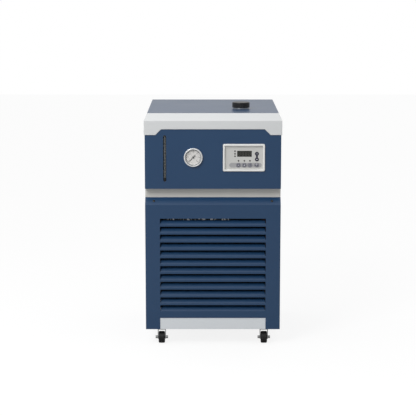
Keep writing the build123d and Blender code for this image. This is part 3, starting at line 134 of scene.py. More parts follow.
surround = bpy.data.worlds.new("studio_surround")
surround.use_nodes = True
tree = surround.node_tree
tree.nodes.clear()
direction = add(tree, "ShaderNodeTexCoord")
parts = add(tree, "ShaderNodeSeparateXYZ", {"Vector": direction.outputs["Generated"]})
behind = add(
    tree,
    "ShaderNodeMapRange",
    {"Value": parts.outputs["Y"], "From Min": -0.6, "From Max": 0.6, "To Min": 0.55, "To Max": 0.84},
)
leftward = add(
    tree,
    "ShaderNodeMapRange",
    {"Value": parts.outputs["X"], "From Min": -1.0, "From Max": 1.0, "To Min": 1.2, "To Max": 0.8},
)
strength = add(
    tree,
    "ShaderNodeMath",
    {0: behind.outputs["Result"], 1: leftward.outputs["Result"]},
    operation="MULTIPLY",
)
lit = add(tree, "ShaderNodeBackground", {"Color": linear("ffffff"), "Strength": strength.outputs[0]})
backdrop = add(tree, "ShaderNodeBackground", {"Color": linear("ffffff"), "Strength": 1.0})
path = add(tree, "ShaderNodeLightPath")
mixed = add(
    tree,
    "ShaderNodeMixShader",
    {0: path.outputs["Is Camera Ray"], 1: lit.outputs[0], 2: backdrop.outputs[0]},
)
add(tree, "ShaderNodeOutputWorld", {"Surface": mixed.outputs[0]})
bpy.context.scene.world = surround

# Each softbox: its name, place in metres, turn in degrees, width and height in metres, and watts.
softboxes = [
    ("overhead_softbox", (0.0, front_face - 0.25, 2.7), (0.0, 0.0, 0.0), 2.2, 1.5, 4.0),
    ("key_softbox", (-1.1, front_face - 1.7, 2.2), (48.0, 0.0, -33.0), 0.9, 0.9, 29.0),
]
for name, place, turn, width, height, power in softboxes:
    lamp = bpy.data.lights.new(name, "AREA")
    lamp.shape = "RECTANGLE"
    lamp.size = width
    lamp.size_y = height
    lamp.energy = power
    lamp_object = bpy.data.objects.new(name, lamp)
    lamp_object.location = place
    lamp_object.rotation_euler = tuple(math.radians(part) for part in turn)
    bpy.context.scene.collection.objects.link(lamp_object)


# The casing's coloured panels: steel sheet, folded and powder-coated in a satin navy blue.
# Baked powder flows into a faint orange peel, a couple of millimetres across, and rounds every edge.
def coated(name, low, high, roughness, level, peel_mm, peel_height_mm, tone_mm=180.0):
    """A paint or a moulded skin: two close tones drift over tone_mm, and a fine peel lifts the surface."""
    gloss_drift = 0.03
    made, tree, output = blank(name)
    place = add(tree, "ShaderNodeTexCoord")
    drift = add(
        tree,
        "ShaderNodeTexNoise",
        {"Vector": place.outputs["Object"], "Scale": 1000.0 / tone_mm, "Detail": 3.0},
    )
    tone = add(
        tree,
        "ShaderNodeMix",
        {"Factor": drift.outputs["Fac"], 6: linear(low), 7: linear(high)},
        data_type="RGBA",
    )
    peel = add(
        tree,
        "ShaderNodeTexNoise",
        {"Vector": place.outputs["Object"], "Scale": 1000.0 / peel_mm, "Detail": 2.0},
    )
    relief = add(
        tree,
        "ShaderNodeBump",
        {"Height": peel.outputs["Fac"], "Strength": 1.0, "Distance": peel_height_mm * MM},
    )
    gloss = add(
        tree,
        "ShaderNodeMapRange",
        {"Value": drift.outputs["Fac"], "To Min": roughness - gloss_drift, "To Max": roughness + gloss_drift},
    )
    shader = add(
        tree,
        "ShaderNodeBsdfPrincipled",
        {
            "Base Color": tone.outputs[2],
            "Roughness": gloss.outputs["Result"],
            "Normal": relief.outputs["Normal"],
            "IOR": 1.5,
            "Specular IOR Level": level,
        },
    )
    tree.links.new(shader.outputs[0], output.inputs["Surface"])
    return made


def dress(material, *nodes):
    """Gives CAD nodes their finish."""
    for name in nodes:
        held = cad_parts[name].data.materials
        held.clear()
        held.append(material)


def carried(piece, body, slot, *nodes):
    """Lets a piece ride its body and lets it stand for CAD nodes. The slot is not used."""
    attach(piece, body)
    if nodes:
        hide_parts(*nodes)


def softened(node, width_mm, material, body, slot, segments=3, bend=25.0):
    """A CAD node with rounded edges: a merged copy, bevelled where its faces turn by over bend degrees."""
    weld = 1e-6
    flat_angle = 0.3
    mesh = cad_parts[node].data.copy()
    work = bmesh.new()
    work.from_mesh(mesh)
    bmesh.ops.remove_doubles(work, verts=work.verts, dist=weld)
    bmesh.ops.dissolve_limit(work, angle_limit=math.radians(flat_angle), verts=work.verts, edges=work.edges)
    work.to_mesh(mesh)
    work.free()
    mesh.materials.clear()
    mesh.materials.append(material)
    mesh.shade_smooth()
    mesh.set_sharp_from_angle(angle=math.radians(bend))
    made = bpy.data.objects.new(f"{node}_rounded", mesh)
    bpy.context.scene.collection.objects.link(made)
    edge = made.modifiers.new("rounded_edges", "BEVEL")
    edge.width = width_mm * MM
    edge.segments = segments
    edge.limit_method = "ANGLE"
    edge.angle_limit = math.radians(bend)
    edge.use_clamp_overlap = False
    edge.harden_normals = True
    carried(made, body, slot, node)


navy_powder = coated(
    "navy_powder_coat", "193d62", "1d4368",
    roughness=0.34, level=0.62, peel_mm=2.2, peel_height_mm=0.02,
)
sheet_edge = 0.4
cover_edge = 1.2
for name in ("left_side_panel", "right_side_panel", "rear_panel", "upper_front_panel"):
    softened(name, sheet_edge, navy_powder, "cabinet", "blue_powder_coat")
dress(navy_powder, "grille_panel")
softened("top_cover", cover_edge, navy_powder, "cabinet", "blue_powder_coat")


# The white base tray and the rail in the waist: the same folded steel under white powder coat.
# They are bolted to the side panels and their folded edges catch the light; the rail's white is painted
# darker and warmer, as painted shade for its recess under the upper panel.
white_powder = coated(
    "white_powder_coat", "e4e9ed", "e9edf1",
    roughness=0.38, level=0.45, peel_mm=2.2, peel_height_mm=0.02,
)
folded_edge = 0.5
softened("base_tray", folded_edge, white_powder, "cabinet", "white_powder_coat")
# The rail's colour is painted shade: a darker, warmer white than the tray's, standing for the shade of its
# recess.
rail_powder_painted_shade = coated(
    "white_powder_painted_shade", "cccbc6", "d2d1cc",
    roughness=0.42, level=0.4, peel_mm=2.2, peel_height_mm=0.02,
)
softened("waist_rail", folded_edge, rail_powder_painted_shade, "cabinet", "white_powder_coat")


# The visor over the front is one ABS moulding with rounded edges, clipped over the casing's shoulders.
# The mould's spark finish leaves a fine even grain.
white_moulding = coated(
    "white_moulded_abs", "d8dadb", "dddfe0",
    roughness=0.45, level=0.4, peel_mm=0.8, peel_height_mm=0.008,
)
visor_edge = 1.3
softened("front_visor", visor_edge, white_moulding, "cabinet", "white_moulding", segments=4)


# The casing's screws: steel, blackened, with low domed heads and a cross recess.
# Two hold the grille's sloping top, two each side's foot and six the rear panel.
def corners(node):
    """The lowest and highest corner of a CAD node, in millimetres."""
    low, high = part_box(node)
    return np.array(low) / MM, np.array(high) / MM


def grid_faces(rows, columns):
    """Quads between the rows of a grid whose rows are closed rings."""
    row, column = np.meshgrid(np.arange(rows - 1), np.arange(columns), indexing="ij")
    following = (column + 1) % columns
    ring = [row * columns + column, row * columns + following]
    ring += [(row + 1) * columns + following, (row + 1) * columns + column]
    return np.stack(ring, axis=-1).reshape(-1, 4).tolist()


def along(axis, one, two, height):
    """Points whose height runs along y or z and whose other two coordinates follow in order."""
    orders = {"y": (one, height, two), "z": (one, two, height)}
    return np.stack(orders[axis], axis=-1)


def turned(profile, place, axis, steps):
    """A turned shape: radius times cosine and sine of an angle, at each (radius, height) of a profile."""
    profile = np.asarray(profile, float)
    angle = np.linspace(0.0, 2.0 * math.pi, steps, endpoint=False)
    radius = profile[:, :1]
    height = np.repeat(profile[:, 1:], steps, axis=1)
    points = along(axis, radius * np.cos(angle), radius * np.sin(angle), height)
    return points.reshape(-1, 3) + np.asarray(place, float), grid_faces(len(profile), steps)


def arc(centre, radius, start, end, steps=6):
    """Points of a round corner: centre plus radius times cosine and sine, from start to end in degrees."""
    angle = np.radians(np.linspace(start, end, steps))
    return list(zip(centre[0] + radius * np.cos(angle), centre[1] + radius * np.sin(angle)))


def built(name, shapes, material, sharp=32.0):
    """One mesh from shapes of (points in millimetres, faces): joined, welded, with every face outwards."""
    weld = 1e-7
    starts = np.cumsum([0] + [len(points) for points, faces in shapes])
    points = np.concatenate([points for points, faces in shapes]) * MM
    faces = [[int(i + start) for i in face] for start, (_, part) in zip(starts, shapes) for face in part]
    made = from_arrays(name, points, faces, material)
    work = bmesh.new()
    work.from_mesh(made.data)
    bmesh.ops.remove_doubles(work, verts=work.verts, dist=weld)
    bmesh.ops.recalc_face_normals(work, faces=work.faces)
    work.to_mesh(made.data)
    work.free()
    made.data.shade_smooth()
    made.data.set_sharp_from_angle(angle=math.radians(sharp))
    return made


def screw(place, direction, length):
    """A screw: a dome of height (1 - (r/R)^4)^0.5 sunk by a cross within two crossing bars, over a shank."""
    head_radius = 4.5
    head_height = 2.5
    shank_radius = 2.0
    bar_half = 0.55
    bar_reach = 2.5
    sunk = 1.3
    steps = 72
    share = np.concatenate([np.linspace(0.0, 0.6, 11), [0.7, 0.8, 0.88, 0.94, 0.98, 1.0]])
    ring = head_radius * share[:, None]
    angle = np.linspace(0.0, 2.0 * math.pi, steps, endpoint=False)
    x = ring * np.cos(angle)
    y = ring * np.sin(angle)
    height = head_height * np.sqrt(1.0 - (ring / head_radius) ** 4) * np.ones(steps)
    near = np.minimum(abs(x), abs(y))
    far = np.maximum(abs(x), abs(y))
    height -= sunk * ((near < bar_half) & (far < bar_reach))
    head = along("z", x, y, height).reshape(-1, 3)
    shank_profile = [(shank_radius, 0.0), (shank_radius, -length), (0.0, -length)]
    shank = turned(shank_profile, (0, 0, 0), "z", steps)[0]
    points = np.concatenate([head, shank])
    out = np.asarray(direction, float) / np.linalg.norm(direction)
    side = np.cross(out, (0.0, 0.0, 1.0))
    side /= np.linalg.norm(side)
    basis = np.stack([side, np.cross(out, side), out])
    rings = len(ring) + len(shank_profile)
    return points @ basis + np.asarray(place, float), grid_faces(rings, steps)


# Blackened zinc is nearly black and glossy, so each head catches a spark of light.
black_zinc = coated(
    "blackened_zinc_screw", "121214", "1c1c1e",
    roughness=0.16, level=1.0, peel_mm=0.7, peel_height_mm=0.01, tone_mm=6.0,
)
casing_high = corners("rear_panel")[1]
grille_low, grille_high = corners("grille_panel")
side_screw = 9.0
rear_screw = 4.0
foot_screw_z = grille_low[2] + 23.0
foot_screw_front = grille_high[1] + 60.5
foot_screw_rear = casing_high[1] - 60.0
slope_screw_x = grille_high[0] - 29.0
rear_screw_x = casing_high[0] - 7.5
rear_screw_top = casing_high[2] - 27.0
half_slope = (grille_high[1] - grille_low[1]) / 2
slope_y = grille_low[1] + half_slope
slope_z = grille_high[2] - half_slope
screws = [screw((side * slope_screw_x, slope_y, slope_z), (0, -1, 1), side_screw) for side in (-1, 1)]
for side in (-1, 1):
    for y in (foot_screw_front, foot_screw_rear):
        screws.append(screw((side * grille_high[0], y, foot_screw_z), (side, 0, 0), side_screw))
    for z in (foot_screw_z, (foot_screw_z + rear_screw_top) / 2, rear_screw_top):
        screws.append(screw((side * rear_screw_x, casing_high[1], z), (0, 1, 0), rear_screw))
carried(built("panel_screws_crossed", screws, black_zinc), "cabinet", "zinc_plated_steel", "panel_screws")


# Bare steel and zinc: caster forks and plates, and the galvanised shelf under the reservoir.
# Zinc shows as a soft grey mirror with a fine grain, and galvanised sheet as broad crystals.
def bare_metal(name, low, high, roughness, grain_mm, stretch=(1.0, 1.0, 1.0), metal=1.0):
    """A bare metal: tone and roughness follow a noise of grain_mm, drawn out along an axis if brushed.

    Metal is the share that mirrors as metal does, and the rest shows as a plain white skin.
    """
    gloss_drift = 0.08
    made, tree, output = blank(name)
    place = add(tree, "ShaderNodeTexCoord")
    drawn = add(tree, "ShaderNodeMapping", {"Vector": place.outputs["Object"], "Scale": stretch})
    grain = add(
        tree,
        "ShaderNodeTexNoise",
        {"Vector": drawn.outputs["Vector"], "Scale": 1000.0 / grain_mm, "Detail": 4.0},
    )
    tone = add(
        tree,
        "ShaderNodeMix",
        {"Factor": grain.outputs["Fac"], 6: linear(low), 7: linear(high)},
        data_type="RGBA",
    )
    gloss = add(
        tree,
        "ShaderNodeMapRange",
        {"Value": grain.outputs["Fac"], "To Min": roughness - gloss_drift, "To Max": roughness + gloss_drift},
    )
    shader = add(
        tree,
        "ShaderNodeBsdfPrincipled",
        {"Base Color": tone.outputs[2], "Metallic": metal, "Roughness": gloss.outputs["Result"]},
    )
    tree.links.new(shader.outputs[0], output.inputs["Surface"])
    return made


bright_zinc = bare_metal("bright_zinc_plate", "a2a3a3", "bcbdbc", roughness=0.32, grain_mm=1.5)
galvanised = bare_metal("galvanised_steel", "9da1a4", "c0c3c5", roughness=0.4, grain_mm=12.0)
caster_corners = ["front_left", "front_right", "rear_left", "rear_right"]
fork_edge = 0.45
dress(bright_zinc, "caster_plates")
dress(galvanised, "mid_shelf")
for corner in caster_corners:
    softened(f"{corner}_fork", fork_edge, bright_zinc, f"{corner}_caster", "zinc_plated_steel")


# The caster wheels: solid black rubber moulded round a nylon hub, with a faint matt tread.
# The tread's edges are rounded, and each wheel turns on a steel axle riveted through its fork.
wheel_rubber = coated(
    "black_wheel_rubber", "101011", "171718",
    roughness=0.55, level=0.4, peel_mm=1.1, peel_height_mm=0.02, tone_mm=30.0,
)
tread_edge = 0.9
for corner in caster_corners:
    softened(f"{corner}_wheel", tread_edge, wheel_rubber, f"{corner}_roller", "black_wheel")


# The black mouldings: gauge case, sight-tube elbows and float, fan and shroud, cable gland, filler cap.
# Glass-filled nylon from a textured mould is a deep satin black.
black_moulding = coated(
    "black_moulded_nylon", "101012", "18181a",
    roughness=0.38, level=0.5, peel_mm=0.9, peel_height_mm=0.012,
)
dress(black_moulding, "gauge_case", "level_elbows", "level_float", "fan_shroud", "fan_rotor")
gland_edge = 0.5
cap_edge = 0.7
softened("cable_gland", gland_edge, black_moulding, "cabinet", "black_moulding")
softened("filler_cap", cap_edge, black_moulding, "filler_cap", "black_moulding")


# Stainless steel: the reservoir, its filler neck, and the ports and drain at the rear.
# Turned and rolled stainless keeps fine lines that follow its making.
brushed = (1.0, 1.0, 14.0)
stainless = bare_metal("brushed_stainless", "b4b5b5", "cfd0d0", roughness=0.22, grain_mm=3.0, stretch=brushed)
dress(stainless, "reservoir_tank", "filler_neck")
drain_edge = 0.6
softened("drain_fitting", drain_edge, stainless, "cabinet", "stainless_steel")


# The rear hose ports carry a cut pipe thread from the hexagon to the spigot's chamfered end.
# A ridge climbs one pitch in each turn and fades out at both ends of the thread.
def thread(place, low, high, radius, depth, pitch, steps=48, rows_each=8):
    """A thread on y: radius plus depth times a triangle wave of y / pitch minus the turn, closed inside."""
    root_sunk = 0.2
    core_sunk = 1.0
    rows = int((high - low) / pitch * rows_each)
    y = np.linspace(low, high, rows)[:, None]
    angle = np.linspace(0.0, 2.0 * math.pi, steps, endpoint=False)
    phase = (y - low) / pitch - angle / (2.0 * math.pi)
    wave = 1.0 - 2.0 * abs(phase - np.floor(phase) - 0.5)
    fade = np.clip(np.minimum(y - low, high - y) / pitch, 0.0, 1.0)
    ridge = radius - root_sunk + depth * wave * fade
    inner = np.full((1, steps), radius - core_sunk)
    reach = np.concatenate([inner, ridge, inner, inner])
    height = np.concatenate([[[low]], y, [[high]], [[low]]]) * np.ones(steps)
    points = along("y", reach * np.cos(angle), reach * np.sin(angle), height)
    return points.reshape(-1, 3) + np.asarray(place, float), grid_faces(len(reach), steps)


hexagon_depth = 7.0
spigot_chamfer = 2.2
spigot_radius = 10.5
ridge_height = 1.0
thread_pitch = 1.8
for name in ("supply_port", "return_port"):
    dress(stainless, name)
    low, high = corners(name)
    centre = (low + high) / 2
    cut = thread(
        (centre[0], 0.0, centre[2]),
        casing_high[1] + hexagon_depth,
        high[1] - spigot_chamfer,
        spigot_radius,
        ridge_height,
        thread_pitch,
    )
    carried(built(f"{name}_thread", [cut], stainless), "cabinet", "stainless_steel")


# Inside the lower half: the copper circuit, finned condenser, compressor, fan motor, pump, hoses and foam.
# These lie in the dark behind the louvres, so only their edges and their tone show.
# Drawn copper tarnishes to a dull brown in patches about 20 mm long, and the fins' epoxy is a matt black.
copper = bare_metal("tarnished_copper", "5c3a28", "744c36", roughness=0.4, grain_mm=20.0)
fin_coating = coated(
    "black_epoxy_fins", "0c0c0d", "121213",
    roughness=0.5, level=0.4, peel_mm=2.5, peel_height_mm=0.05,
)
dress(copper, "evaporator_coil", "refrigerant_pipes", "filter_drier")
dress(fin_coating, "condenser_fins", "condenser_tubes")
# The compressor's stove enamel is a smooth gloss black, and the motors' hammer enamel a dimpled grey.
compressor_paint = coated(
    "black_gloss_enamel", "0f0f10", "151516",
    roughness=0.25, level=0.5, peel_mm=3.0, peel_height_mm=0.02,
)
motor_paint = coated(
    "grey_hammer_enamel", "3a3d40", "44474a",
    roughness=0.45, level=0.5, peel_mm=2.5, peel_height_mm=0.05,
)
dress(compressor_paint, "compressor")
dress(motor_paint, "fan_motor", "circulation_pump")
# Moulded rubber is dull and even, the hose's skin shows its braid, and foam is dead matt.
# The foam's cells are drawn coarse, at 2.5 mm, so that they show.
black_rubber = coated(
    "black_rubber", "141414", "1d1d1d",
    roughness=0.65, level=0.4, peel_mm=1.2, peel_height_mm=0.03,
)
grey_hose = coated(
    "grey_reinforced_hose", "2c2d2f", "37383a",
    roughness=0.55, level=0.4, peel_mm=1.5, peel_height_mm=0.05,
)
closed_foam = coated(
    "closed_cell_foam", "1b1c1d", "27282a",
    roughness=0.85, level=0.3, peel_mm=2.5, peel_height_mm=0.3,
)
dress(black_rubber, "compressor_mounts")
dress(grey_hose, "coolant_hoses")
dress(closed_foam, "tank_insulation")
# The controller's board carries a green solder mask with a low gloss.
board_mask = coated(
    "green_solder_mask", "12482c", "185a36",
    roughness=0.4, level=0.5, peel_mm=4.0, peel_height_mm=0.01,
)
dress(board_mask, "circuit_board")


# Black foam gaskets, cut from strip, close the seam between the louvred panel's sides and the side panels.
# They are stuck to the louvred panel and squeezed when it is screwed on.
def prisms(outlines, low, high):
    """Closed prisms: each outline of corners in X and Z is carried along Y from low to high."""
    outlines = np.asarray(outlines, float)
    count, sides = outlines.shape[:2]
    x = outlines[..., 0]
    z = outlines[..., 1]
    ends = [along("y", x, z, np.full_like(x, end)) for end in (low, high)]
    points = np.stack(ends, axis=1).reshape(-1, 3)
    corner = np.arange(sides)
    following = (corner + 1) % sides
    wall = np.stack([corner, following, following + sides, corner + sides], axis=-1)
    starts = 2 * sides * np.arange(count)
    faces = (wall[None] + starts[:, None, None]).reshape(-1, 4).tolist()
    for start in starts:
        faces += [(corner + start).tolist(), (corner + sides + start).tolist()]
    return points, faces


def block(x, y, z):
    """A box between two corners, as one prism along y."""
    outline = [(x[0], z[0]), (x[1], z[0]), (x[1], z[1]), (x[0], z[1])]
    return prisms([outline], y[0], y[1])


side_front = corners("left_side_panel")[0][1]
gasket_gap = 0.1
gasket_wide = 3.0
gasket_outer = grille_high[0] - 0.4
gasket_y = (grille_high[1] + gasket_gap, side_front - gasket_gap)
gaskets = []
for side in (-1, 1):
    gasket_x = sorted((side * gasket_outer, side * (gasket_outer - gasket_wide)))
    gaskets.append(block(gasket_x, gasket_y, (grille_low[2], grille_high[2])))
carried(built("grille_gaskets", gaskets, closed_foam), "cabinet", "foam")


# A strip of crinkled foil tape seals the top of the condenser's fins, and glints through the first louvres.
# Its crinkles mirror the room a little, but the glints are mostly painted: a noise paints near-white
# highlights between patches of near-black painted shade.
# They are about 9 mm apart, drawn coarse so that they read at the size of a picture of the whole chiller.
def crinkled(x, z, face, height, thickness, columns=140, rows=14):
    """A crinkled strip: its face stands off by a sum of sines of x and z whose lengths share no factor."""
    across, up = np.meshgrid(np.linspace(x[0], x[1], columns), np.linspace(z[0], z[1], rows))
    wave = np.sin(across * 0.91 + 1.3 * np.sin(up * 0.7)) + np.sin(across * 0.43 + up * 1.1 + 2.0)
    wave = (wave + np.sin(across * 1.73 - up * 0.9) + 3.0) / 6.0
    front_sheet = np.stack([across, face - height * wave, up], axis=-1)
    behind = np.stack([across, np.full_like(across, face + thickness), up], axis=-1)
    points = np.concatenate([front_sheet, behind[:, ::-1]], axis=1).reshape(-1, 3)
    faces = grid_faces(rows, 2 * columns)
    step = np.arange(columns - 1)
    for base in (0, (rows - 1) * 2 * columns):
        mirror = base + 2 * columns - 1 - step
        faces += np.stack([base + step, base + step + 1, mirror - 1, mirror], axis=-1).tolist()
    return points, faces


fins_low, fins_high = corners("condenser_fins")
foil_glint_mm = 9.0
foil, tree, output = blank("foil_tape_painted_glints")
place = add(tree, "ShaderNodeTexCoord")
drawn = add(tree, "ShaderNodeMapping", {"Vector": place.outputs["Object"], "Scale": (1.0, 1.0, 0.3)})
painted_glint_noise = add(
    tree,
    "ShaderNodeTexNoise",
    {"Vector": drawn.outputs["Vector"], "Scale": 1000.0 / foil_glint_mm, "Detail": 2.0},
)
# Painted highlight and painted shade: past a threshold of the noise the tape's colour jumps from near-black
# to near-white.
glint = add(tree, "ShaderNodeMapRange", {"Value": painted_glint_noise.outputs["Fac"], "From Min": 0.5, "From Max": 0.56})
painted_glint_tone = add(
    tree,
    "ShaderNodeMix",
    {"Factor": glint.outputs["Result"], 6: linear("17181a"), 7: linear("fbfbfb")},
    data_type="RGBA",
)
shader = add(
    tree,
    "ShaderNodeBsdfPrincipled",
    {"Base Color": painted_glint_tone.outputs[2], "Metallic": 0.3, "Roughness": 0.35},
)
tree.links.new(shader.outputs[0], output.inputs["Surface"])
foil_inset = 2.0
foil_drop = 13.0
foil_furthest = -166.0
foil_left = max(fins_low[0] + foil_inset, foil_furthest)
foil_right = 56.0
foil_top = fins_high[2] - foil_drop
foil_height = 16.0
foil_crinkle = 2.6
foil_gap = 0.2
foil_thickness = 0.15
foil_face = fins_low[1] - foil_gap
foil_z = (foil_top - foil_height, foil_top)
tape = crinkled((foil_left, foil_right), foil_z, foil_face, foil_crinkle, foil_thickness)
carried(built("fin_seal_tape", [tape], foil, sharp=60.0), "cabinet", "aluminium_fins")


# The pressure gauge: a rounded satin ring screwed over a clear disc, a white spacer and a printed white dial.
# The dial carries plain numbers, and the black pointer rests at zero.
def clear(name, tint, roughness, veil):
    """Thin clear plastic: a glossy skin that veils what lies behind by a small share, with a faint haze."""
    haze_mm = 25.0
    gloss_drift = 0.04
    made, tree, output = blank(name)
    place = add(tree, "ShaderNodeTexCoord")
    haze = add(
        tree,
        "ShaderNodeTexNoise",
        {"Vector": place.outputs["Object"], "Scale": 1000.0 / haze_mm, "Detail": 2.0},
    )
    gloss = add(
        tree,
        "ShaderNodeMapRange",
        {"Value": haze.outputs["Fac"], "To Min": roughness, "To Max": roughness + gloss_drift},
    )
    shader = add(
        tree,
        "ShaderNodeBsdfPrincipled",
        {"Base Color": linear(tint), "Roughness": gloss.outputs["Result"], "Alpha": veil, "IOR": 1.49},
    )
    tree.links.new(shader.outputs[0], output.inputs["Surface"])
    return made


def rays(degrees, inner, outer, width, centre):
    """Outlines of straight marks round a centre: from inner to outer radius at each angle, width across."""
    angle = np.radians(np.asarray(degrees, float))[:, None]
    reach = np.array([inner, outer, outer, inner])
    half = np.array([-1, -1, 1, 1]) * width / 2
    x = centre[0] + reach * np.cos(angle) - half * np.sin(angle)
    z = centre[1] + reach * np.sin(angle) + half * np.cos(angle)
    return np.stack([x, z], axis=-1)


def lettered(name, texts, size_mm, face, material, thickness_mm=0.08):
    """Printed numbers facing the front: text made mesh, stood upright, and set at each (text, x, z)."""
    shapes = []
    for text, x, z in texts:
        curve = bpy.data.curves.new(name, "FONT")
        curve.body = text
        curve.size = size_mm
        curve.align_x = "CENTER"
        curve.align_y = "CENTER"
        curve.extrude = thickness_mm / 2
        curve.resolution_u = 3
        holder = bpy.data.objects.new(name, curve)
        mesh = bpy.data.meshes.new_from_object(holder)
        flat = np.empty(3 * len(mesh.vertices))
        mesh.vertices.foreach_get("co", flat)
        flat = flat.reshape(-1, 3)
        points = np.stack([flat[:, 0] + x, face - flat[:, 2], flat[:, 1] + z], axis=-1)
        shapes.append((points, [list(part.vertices) for part in mesh.polygons]))
        bpy.data.objects.remove(holder)
        bpy.data.curves.remove(curve)
        bpy.data.meshes.remove(mesh)
    return built(name, shapes, material)


def middle_of(node):
    """A CAD node's middle in X and Z."""
    low, high = corners(node)
    return (low[0] + high[0]) / 2, (low[2] + high[2]) / 2


gauge = middle_of("gauge_bezel")
gauge_axis = (gauge[0], 0.0, gauge[1])
gauge_steps = 96
ring_low, ring_high = corners("gauge_bezel")
lens_low, lens_high = corners("gauge_lens")
ring_radius = (ring_high[0] - ring_low[0]) / 2
ring_width = 4.2
seat_gap = 0.05
window_radius = ring_radius - ring_width
seat_radius = (lens_high[0] - lens_low[0]) / 2 + seat_gap
ring_face = ring_low[1]
ring_back = ring_high[1]
inner_round = 1.4
outer_round = 2.4
ring_profile = [(window_radius, lens_low[1])]
ring_profile += arc((window_radius + inner_round, ring_face + inner_round), inner_round, 180, 270)
ring_profile += arc((ring_radius - outer_round, ring_face + outer_round), outer_round, 270, 360, 8)
ring_profile += [(ring_radius, ring_back), (seat_radius, ring_back), (seat_radius, lens_low[1])]
ring_profile += ring_profile[:1]
# The ring is chrome with six tenths of it a plain near-white skin, a painted reflection of the pale room, so
# it reads nearly white.
chrome_painted_reflection = bare_metal("chrome_ring_painted_reflection", "ecedee", "f2f3f3", roughness=0.3, grain_mm=6.0, metal=0.4)
ring = built("gauge_ring", [turned(ring_profile, gauge_axis, "y", gauge_steps)], chrome_painted_reflection)
carried(ring, "cabinet", "stainless_steel", "gauge_bezel")

dial_low, dial_high = corners("gauge_dial")
dial_face = dial_low[1]
dial_radius = (dial_high[0] - dial_low[0]) / 2
# The dial's white print has aged to a warm matt grey.
dial_white = coated(
    "dial_white_print", "e0dedb", "e6e4e1",
    roughness=0.6, level=0.4, peel_mm=1.0, peel_height_mm=0.004, tone_mm=20.0,
)
dress(dial_white, "gauge_dial")
spacer_foot = 1.2
spacer_top = 0.9
spacer_end = lens_high[1] + seat_gap
spacer_profile = [(dial_radius, dial_face), (dial_radius - spacer_foot, dial_face)]
spacer_profile += [(dial_radius - spacer_top, spacer_end), (dial_radius, spacer_end)]
spacer_profile += spacer_profile[:1]
spacer = built("gauge_spacer", [turned(spacer_profile, gauge_axis, "y", gauge_steps)], white_moulding)
carried(spacer, "cabinet", "white_moulding")

# Screen-printed ink is a flat satin black, and the pointer is painted in the same.
dial_ink = coated(
    "black_dial_ink", "121214", "19191b",
    roughness=0.5, level=0.4, peel_mm=0.6, peel_height_mm=0.002, tone_mm=10.0,
)
print_proud = 0.08
scale_start = 225.0
scale_end = -45.0
scale_rim = 24.0
major = np.linspace(scale_start, scale_end, 7)
middle = np.linspace(scale_start, scale_end, 19)
minor = np.linspace(scale_start, scale_end, 91)
# Each row of marks: its angles, its inner radius and its width.
mark_rows = [(major, 19.6, 1.7), (middle, 21.4, 1.1), (minor, 22.6, 0.45)]
marks = [
    prisms(rays(angles, inner, scale_rim, width, gauge), dial_face - print_proud, dial_face)
    for angles, inner, width in mark_rows
]
carried(built("gauge_marks", marks, dial_ink), "cabinet", "black_paint")
number_radius = 16.2
number_size = 6.4
number_x = gauge[0] + number_radius * np.cos(np.radians(major))
number_z = gauge[1] + number_radius * np.sin(np.radians(major))
numbers = [(str(i), number_x[i], number_z[i]) for i in range(len(major))]
printed = lettered("gauge_numbers", numbers, number_size, dial_face - print_proud / 2, dial_ink)
carried(printed, "cabinet", "black_paint")
dress(dial_ink, "gauge_pointer")
# The disc is polished, so it shows only a thin glint.
gauge_glass = clear("clear_gauge_disc", "f4f7f7", roughness=0.04, veil=0.05)
dress(gauge_glass, "gauge_lens")


# The level sight tube: clear acrylic between two black elbows, with a grey scale strip standing behind it.
# Dark bars on the strip, 7 mm tall and one every 10.8 mm, are read against the black ball.
clear_acrylic = clear("clear_acrylic_tube", "989c9c", roughness=0.06, veil=0.2)
dress(clear_acrylic, "level_tube")
tube_low, tube_high = corners("level_tube")
tube_x = middle_of("level_tube")[0]
strip_half = 3.6
strip_thickness = 0.4
strip_front = tube_high[1] + 0.3
strip_bottom = tube_low[2] + 8.0
strip_top = tube_high[2] - 4.0
strip_x = (tube_x - strip_half, tube_x + strip_half)
# The strip's printed film is a dull pinkish grey and matt.
dull_grey_strip_paint = coated(
    "dull_pinkish_grey_strip", "7c7273", "8c8282",
    roughness=0.6, level=0.3, peel_mm=1.0, peel_height_mm=0.01, tone_mm=60.0,
)
strip = block(strip_x, (strip_front, strip_front + strip_thickness), (strip_bottom, strip_top))
carried(built("level_scale", [strip], dull_grey_strip_paint), "cabinet", "grey_keypad")
bar_pitch = 10.8
bar_height = 7.0
bar_z = np.arange(strip_bottom + bar_pitch / 2, strip_top - bar_height, bar_pitch)[:, None]
bars = np.stack(
    [
        tube_x + strip_half * np.array([-1, 1, 1, -1]) + 0 * bar_z,
        bar_z + bar_height / 2 * np.array([-1, -1, 1, 1]),
    ],
    axis=-1,
)
bar_print = prisms(bars, strip_front - print_proud, strip_front)
carried(built("level_marks", [bar_print], dial_ink), "cabinet", "black_paint")


# The controller: a white moulded housing, a silver-grey film on its sunken plate, and a smoked window.
# The film is printed darker along the raised strip of the lower keys. The ABS is bright and satin.
bright_moulding = coated(
    "bright_white_abs", "f2f2f0", "f6f6f4",
    roughness=0.45, level=0.45, peel_mm=0.8, peel_height_mm=0.008,
)
bezel_edge = 1.2
softened("controller_bezel", bezel_edge, bright_moulding, "cabinet", "white_moulding", segments=4)
controller = middle_of("controller_bezel")
plate_low, plate_high = corners("controller_plate")
relief_face = plate_low[1]
plate_skin = relief_face + 0.4
lower_keys_z = middle_of("key_set")[1]
strip_left = plate_low[0] + 15.3
strip_right = plate_high[0] - 4.3
strip_radius = 7.6
strip_edge = 0.4
film_grain_mm = 0.625

